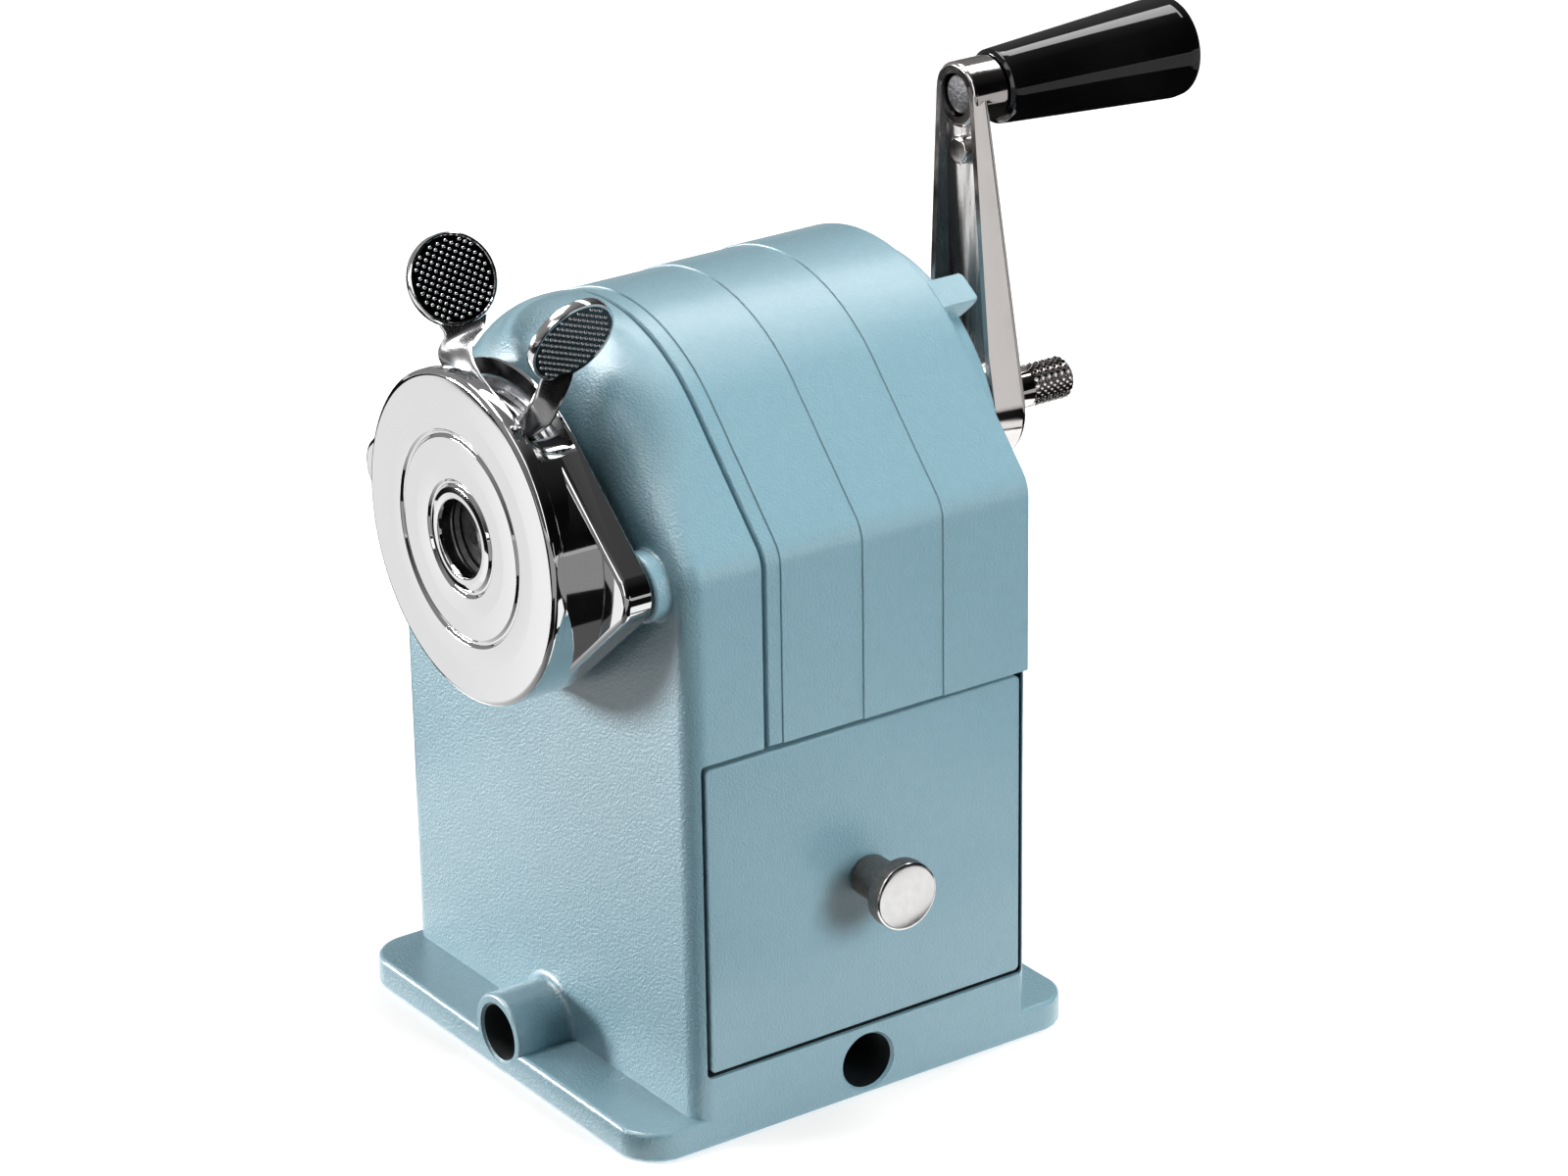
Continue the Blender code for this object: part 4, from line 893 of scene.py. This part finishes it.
def crank_pieces():
    front = ARM_BACK - 5.0
    layers = [(1.0, front), (0.85, front + 0.05), (0.8, front + 0.2), (0.1, ARM_BACK - 0.7),
              (0.12, ARM_BACK - 0.4), (0.3, ARM_BACK - 0.1), (0.6, ARM_BACK)]
    arm = drafted("arm", arm_outline(8.6, 4.65), layers)
    pocket = drafted("pocket", arm_outline(7.4, 3.45),
                     [(1.5, front - 5), (0.0, ARM_BACK - 1.3)])
    wedge = block("wedge", (-20, -20, 0), (20, 0, 60))
    drop = math.atan2(2.6, ARM_LENGTH - 6)
    x, z = arm_point(6)
    wedge.matrix_world = (Matrix.Translation((x, front, z))
                          @ Matrix.Rotation(ARM, 4, "Y") @ Matrix.Rotation(-drop, 4, "X"))
    hub = lathe("hub", fillet([(0.0, ARM_BACK - 0.5, 0), (6.2, ARM_BACK - 0.5, 0),
                               (6.2, front - 0.4, 0.5), (0.0, front - 0.4, 0)], 4), steps=64)
    top = arm_point(ARM_LENGTH)
    boss = lathe("boss2", fillet([(0.0, ARM_BACK + 3.5, 0), (4.65, ARM_BACK + 3.5, 0.25),
                                  (4.65, ARM_BACK - 2.3, 0.5), (0.0, ARM_BACK - 2.3, 0)], 4),
                 top, 64)
    peg = lathe("peg", fillet([(0.0, ARM_BACK - 0.8, 0), (2.0, ARM_BACK - 0.8, 0),
                               (2.0, ARM_BACK - 2.7, 0.4), (0.0, ARM_BACK - 2.7, 0)], 4),
                arm_point(36), 40)
    cut(arm, pocket, wedge)
    join(arm, hub, boss, peg)
    cut(arm, drill("hub_bore", 4.3, 20, 80, steps=48),
        drill("boss_bore", 3.1, 20, 80, top, 48))
    soften(arm, 0.2, 2, 55)
    channel = finish(arm, "crank_channel", "crank", PRESSED, ("crank_arm",), 35,
                     True)
    # The channel's inner walls and web take the darker copy: painted shade.
    recolour(channel, INSIDE, inside_channel)

    sleeve = lathe("sleeve", fillet([(4.3, REAR + 4.1, 0.1), (6.4, REAR + 4.1, 0.4),
                                     (6.4, ARM_BACK - 5.8, 0.3), (4.3, ARM_BACK - 5.8, 0.1)],
                                    4, True), steps=64)
    finish(sleeve, "crank_collar", "crank", CHROME, ("crank_sleeve",), 35)

    axle = lathe("axle", fillet([(0.0, ARM_BACK + 30.8, 0), (2.1, ARM_BACK + 30.8, 0.3),
                                 (2.1, ARM_BACK + 3.3, 0), (2.85, ARM_BACK + 3.3, 0),
                                 (2.85, ARM_BACK - 1.7, 0.5), (0.0, ARM_BACK - 2.0, 0)], 4),
                 top, 48)
    # The axle and rivet take the near-black steel: painted shade.
    finish(axle, "grip_axle", "crank", SHADED_RIVET_STEEL, ("handle_axle",), 35)

    start = ARM_BACK + 3.8
    end = ARM_BACK + 36.5
    grip = fillet([(0.0, start + 27.5, 0), (2.4, start + 27.5, 0), (2.4, start, 0.1),
                   (4.75, start, 0.25), (5.3, start + 0.45, 0.3), (5.38, start + 1.4, 0.6),
                   (7.35, end - 2.4, 3.0), (7.15, end - 0.75, 0.9), (6.1, end - 0.12, 1.3),
                   (0.0, end, 0)], 8)
    finish(lathe("grip", grip, top, 128), "hand_grip", "handle", BLACK,
           ("handle_grip",), 40)


def adjuster_piece():
    start = ARM_BACK + 0.3
    profile = fillet([(0.0, start - 9, 0), (1.5, start - 9, 0), (1.5, start, 0),
                      (2.95, start, 0.2), (2.95, start + 5.6, 0.15), (2.8, start + 5.9, 0),
                      (2.8, start + 12.2, 0.3), (2.3, start + 12.9, 0.4),
                      (0.0, start + 13.1, 0)], 4)
    core = lathe("adjuster_core", profile, steps=64)
    verts = []
    faces = []
    around = 20
    rows = 11
    length = 6.2
    for row in range(rows):
        for i in range(around):
            turn = 2 * math.pi * (i + 0.5 * (row % 2)) / around
            level = start + 6.0 + length * (row + 0.5) / rows
            base = len(verts)
            step_a = math.pi / around
            step_y = length / rows
            for da, dy in ((step_a, 0), (0, step_y), (-step_a, 0), (0, -step_y)):
                angle = turn + da
                verts.append((2.8 * math.cos(angle), level + dy,
                              AXIS + 2.8 * math.sin(angle)))
            verts.append((3.16 * math.cos(turn), level, AXIS + 3.16 * math.sin(turn)))
            faces += [(base, base + 1, base + 4), (base + 1, base + 2, base + 4),
                      (base + 2, base + 3, base + 4), (base + 3, base, base + 4)]
    knurl = loose("adjuster_knurl", verts, faces)
    finish(merge([core, knurl], "adjuster"), "point_knob", "adjuster", PRESSED,
           ("adjuster_knob",), 28)


# ------------------------------------------------------------ kept CAD nodes

def dress(names, material):
    for name in names:
        mesh = nodes[name].data
        mesh.materials.clear()
        mesh.materials.append(material)


body_piece()
hood_piece()
drawer_pieces()
holder_pieces()
lever_pieces()
crank_pieces()
adjuster_piece()
dress(nodes, STEEL)
dress(["front_bush", "rear_bearing", "rod_bush_left", "rod_bush_right"], BRONZE)
dress(["return_spring_left", "return_spring_right", "lever_spring"], SPRING)
dress(["drawer_tray"], GREY)
dress(["base_pad"], RUBBER)
dress(["guide_rod_left", "guide_rod_right"], CHROME)
dress(["jaw_1", "jaw_2", "jaw_3", "clutch_body"], JAW)
dress(["body_casting", "hood", "drawer_front"], PAINT)
for item in list(scratch.objects):
    bpy.data.objects.remove(item, do_unlink=True)
bpy.data.collections.remove(scratch)


# ------------------------------------------------------------ floor, light, camera

WHITE = (1.0, 1.0, 1.0, 1.0)
NO_COLOUR = (0.0, 0.0, 0.0, 1.0)


def sheet(name, verts, faces, look, seen_by=None):
    """A stage mesh with one material; seen_by leaves only one kind of ray to see it."""
    mesh = bpy.data.meshes.new(name)
    mesh.from_pydata(verts, [], faces)
    item = bpy.data.objects.new(name, mesh)
    bpy.context.scene.collection.objects.link(item)
    material, tree, shader, where = new_material(name)
    for socket, value in look.items():
        shader.inputs[socket].default_value = value
    mesh.materials.append(material)
    if seen_by:
        item.visible_camera = seen_by == "camera"
        item.visible_diffuse = seen_by == "diffuse"
        item.visible_glossy = seen_by == "glossy"
        item.visible_shadow = False
        item.visible_transmission = False
    return tree, shader, where


def rectangle(low, high, level):
    return [(low[0], low[1], level), (high[0], low[1], level), (high[0], high[1], level),
            (low[0], high[1], level)]


def floor():
    size = 3.0
    sheet("floor", rectangle((-size, -size), (size, size), -0.0002), [(0, 1, 2, 3)],
          {"Base Color": (0.82, 0.82, 0.82, 1.0), "Roughness": 0.7,
           "Emission Color": WHITE, "Emission Strength": 0.40})


def backdrop():
    """A pale round wall behind the floor, for low views; only the camera sees it."""
    radius = 2.6
    steps = 48
    verts = []
    faces = []
    for i in range(steps):
        angle = 2 * math.pi * i / steps
        for z in (-0.01, 3.0):
            verts.append((radius * math.cos(angle), radius * math.sin(angle), z))
        j = (i + 1) % steps
        faces.append((2 * i, 2 * i + 1, 2 * j + 1, 2 * j))
    sheet("backdrop", verts, faces,
          {"Base Color": NO_COLOUR, "Specular IOR Level": 0.0,
           "Emission Color": WHITE, "Emission Strength": 0.52}, "camera")


def flag(name, size, level, tone):
    """A grey sheet over the floor that only soft light sees: it limits the bounce."""
    sheet(name, rectangle((-size, -size), (size, size), level), [(0, 1, 2, 3)],
          {"Base Color": (*grey(tone), 1.0), "Roughness": 1.0}, "diffuse")


def along(tree, where, direction, span):
    """0 to 1 along a direction, between the two places in span."""
    aim = tree.nodes.new("ShaderNodeVectorMath")
    aim.operation = "DOT_PRODUCT"
    aim.inputs[1].default_value = direction
    tree.links.new(where, aim.inputs[0])
    spread = tree.nodes.new("ShaderNodeMapRange")
    spread.inputs["From Min"].default_value = span[0]
    spread.inputs["From Max"].default_value = span[1]
    tree.links.new(aim.outputs["Value"], spread.inputs["Value"])
    return spread.outputs["Result"]


def card(name, corners, low, high=None, direction=None, span=None):
    """A panel only reflections see, as in a light tent: one tone or a gradient."""
    tree, shader, where = sheet(
        name, corners, [(0, 1, 2, 3)],
        {"Base Color": NO_COLOUR, "Roughness": 1.0, "Specular IOR Level": 0.0,
         "Emission Color": (*grey(low), 1.0), "Emission Strength": 1.0}, "glossy")
    if high is not None:
        tree.links.new(ramp(tree, along(tree, where, direction, span),
                            [(0.0, grey(low)), (1.0, grey(high))]),
                       shader.inputs["Emission Color"])


def facing_card(name, centre, width, height, tone):
    """An upright card that faces the object."""
    middle = Vector(centre)
    out = Vector((middle.x, middle.y, middle.z - 0.08)).normalized()
    side = out.cross(Vector((0, 0, 1))).normalized() * width / 2
    up = side.cross(out).normalized() * height / 2
    card(name, [tuple(middle - side - up), tuple(middle + side - up),
                tuple(middle + side + up), tuple(middle - side + up)], tone)


def area(name, place, target, size, power, reflected=True):
    light = bpy.data.lights.new(name, "AREA")
    light.shape = "RECTANGLE"
    light.size, light.size_y = size
    light.energy = power
    item = bpy.data.objects.new(name, light)
    bpy.context.scene.collection.objects.link(item)
    item.location = place
    aim = Vector(target) - Vector(place)
    item.rotation_euler = aim.to_track_quat("-Z", "Y").to_euler()
    item.visible_glossy = reflected


def sky():
    """A soft light, brightest from the front's upper left and nearly dark opposite."""
    world = bpy.data.worlds.new("studio")
    bpy.context.scene.world = world
    world.use_nodes = True
    tree = world.node_tree
    back = tree.nodes["Background"]
    where = tree.nodes.new("ShaderNodeTexCoord")
    colour = ramp(tree, along(tree, where.outputs["Generated"], (-0.66, -0.30, 0.69),
                              (-0.35, 0.75)),
                  [(0.0, grey(0.012)), (0.45, grey(0.08)), (0.75, grey(0.55)),
                   (1.0, grey(1.0))])
    tree.links.new(colour, back.inputs["Color"])
    back.inputs["Strength"].default_value = 0.26


def light_scene():
    sky()
    area("key", (-0.69, -0.63, 0.04), (0, -0.02, 0.07), (0.18, 0.26), 17.3)
    area("fill", (-0.25, -0.36, 0.85), (0, 0, 0.05), (0.3, 0.3), 2.8)
    area("strip", (-0.2, 0.52, 0.80), (0, 0.05, 0.1), (0.70, 0.16), 1.8)
    area("top", (0.0, 0.30, 0.88), (0, 0, 0.05), (0.4, 0.4), 4.8, False)
    area("side", (0.86, 0.28, 0.34), (0, 0, 0.06), (0.4, 0.4), 8.7, False)
    flag("floor_flag", 1.2, 0.0004, 0.22)
    dark = 0.006
    glow = 0.35
    for name, low, high, level, *tones in (
            ("right_card", (0.07, -0.12), (1.2, 1.2), 0.0006, dark),
            ("front_card", (-0.045, -0.205), (0.06, -0.12), 0.0006, dark),
            ("near_card", (-0.275, -0.5), (0.02, -0.205), 0.0006, dark),
            ("front_glow", (0.02, -1.2), (0.06, -0.205), 0.0006, glow),
            ("front_right_glow", (0.06, -1.2), (1.2, -0.12), 0.0006, glow),
            ("front_far_glow", (-0.275, -1.2), (0.02, -0.5), 0.0006, glow),
            ("rear_glow", (0.16, 0.22), (1.2, 1.2), 0.0008, 0.5),
            ("rear_left_glow", (-1.2, 0.25), (0.16, 1.2), 0.0008, glow),
            ("back_card", (-0.09, 0.12), (0.07, 1.2), 0.0006, dark),
            ("left_card", (-1.2, -0.085), (-0.09, 1.2), 0.0006, dark),
            ("far_card", (-1.2, -1.2), (-0.275, -0.085), 0.0006, dark),
            ("disc_card", (-0.275, -0.205), (-0.06, -0.085), 0.0007, 0.92, 1.08,
             (0.571, -0.821, 0.0), (0.019, 0.045)),
            ("skirt_card", (-0.09, -0.12), (0.07, -0.038), 0.0007, 1.0, 0.12,
             (1.0, 0.0, 0.0), (-0.09, 0.02)),
            ("knob_card", (0.080, 0.000), (0.150, 0.095), 0.0008, 1.1)):
        card(name, rectangle(low, high, level), *tones)
    facing_card("edge_card", (0.27, -0.52, 0.27), 0.16, 0.36, 1.8)
    facing_card("horizon_card", (1.33, 0.34, 0.11), 0.28, 0.30, 0.8)
    facing_card("crown_card", (-0.24, -0.16, 0.70), 0.36, 0.34, 10.5)
    facing_card("rim_card", (0.10, -0.42, 0.50), 0.34, 0.16, 2.2)


def camera():
    data = bpy.data.cameras.new("camera")
    data.sensor_fit = "HORIZONTAL"
    data.sensor_width = 36.0
    data.lens = 119.911
    data.clip_start = 0.01
    data.clip_end = 20.0
    item = bpy.data.objects.new("camera", data)
    bpy.context.scene.collection.objects.link(item)
    azimuth = math.radians(55.152)
    elevation = math.radians(22.863)
    roll = math.radians(-0.878)
    back = Vector((math.sin(azimuth) * math.cos(elevation),
                   -math.cos(azimuth) * math.cos(elevation), math.sin(elevation)))
    right = Vector((math.cos(azimuth), math.sin(azimuth), 0.0))
    up = back.cross(right)
    across = right * math.cos(roll) + up * math.sin(roll)
    above = up * math.cos(roll) - right * math.sin(roll)
    matrix = Matrix((across, above, back)).transposed().to_4x4()
    matrix.translation = Vector((0.54925, -0.36958, 0.34188))
    item.matrix_world = matrix
    bpy.context.scene.camera = item


floor()
backdrop()
light_scene()
camera()
bpy.context.scene.view_settings.view_transform = "Standard"
bpy.context.view_layer.update()
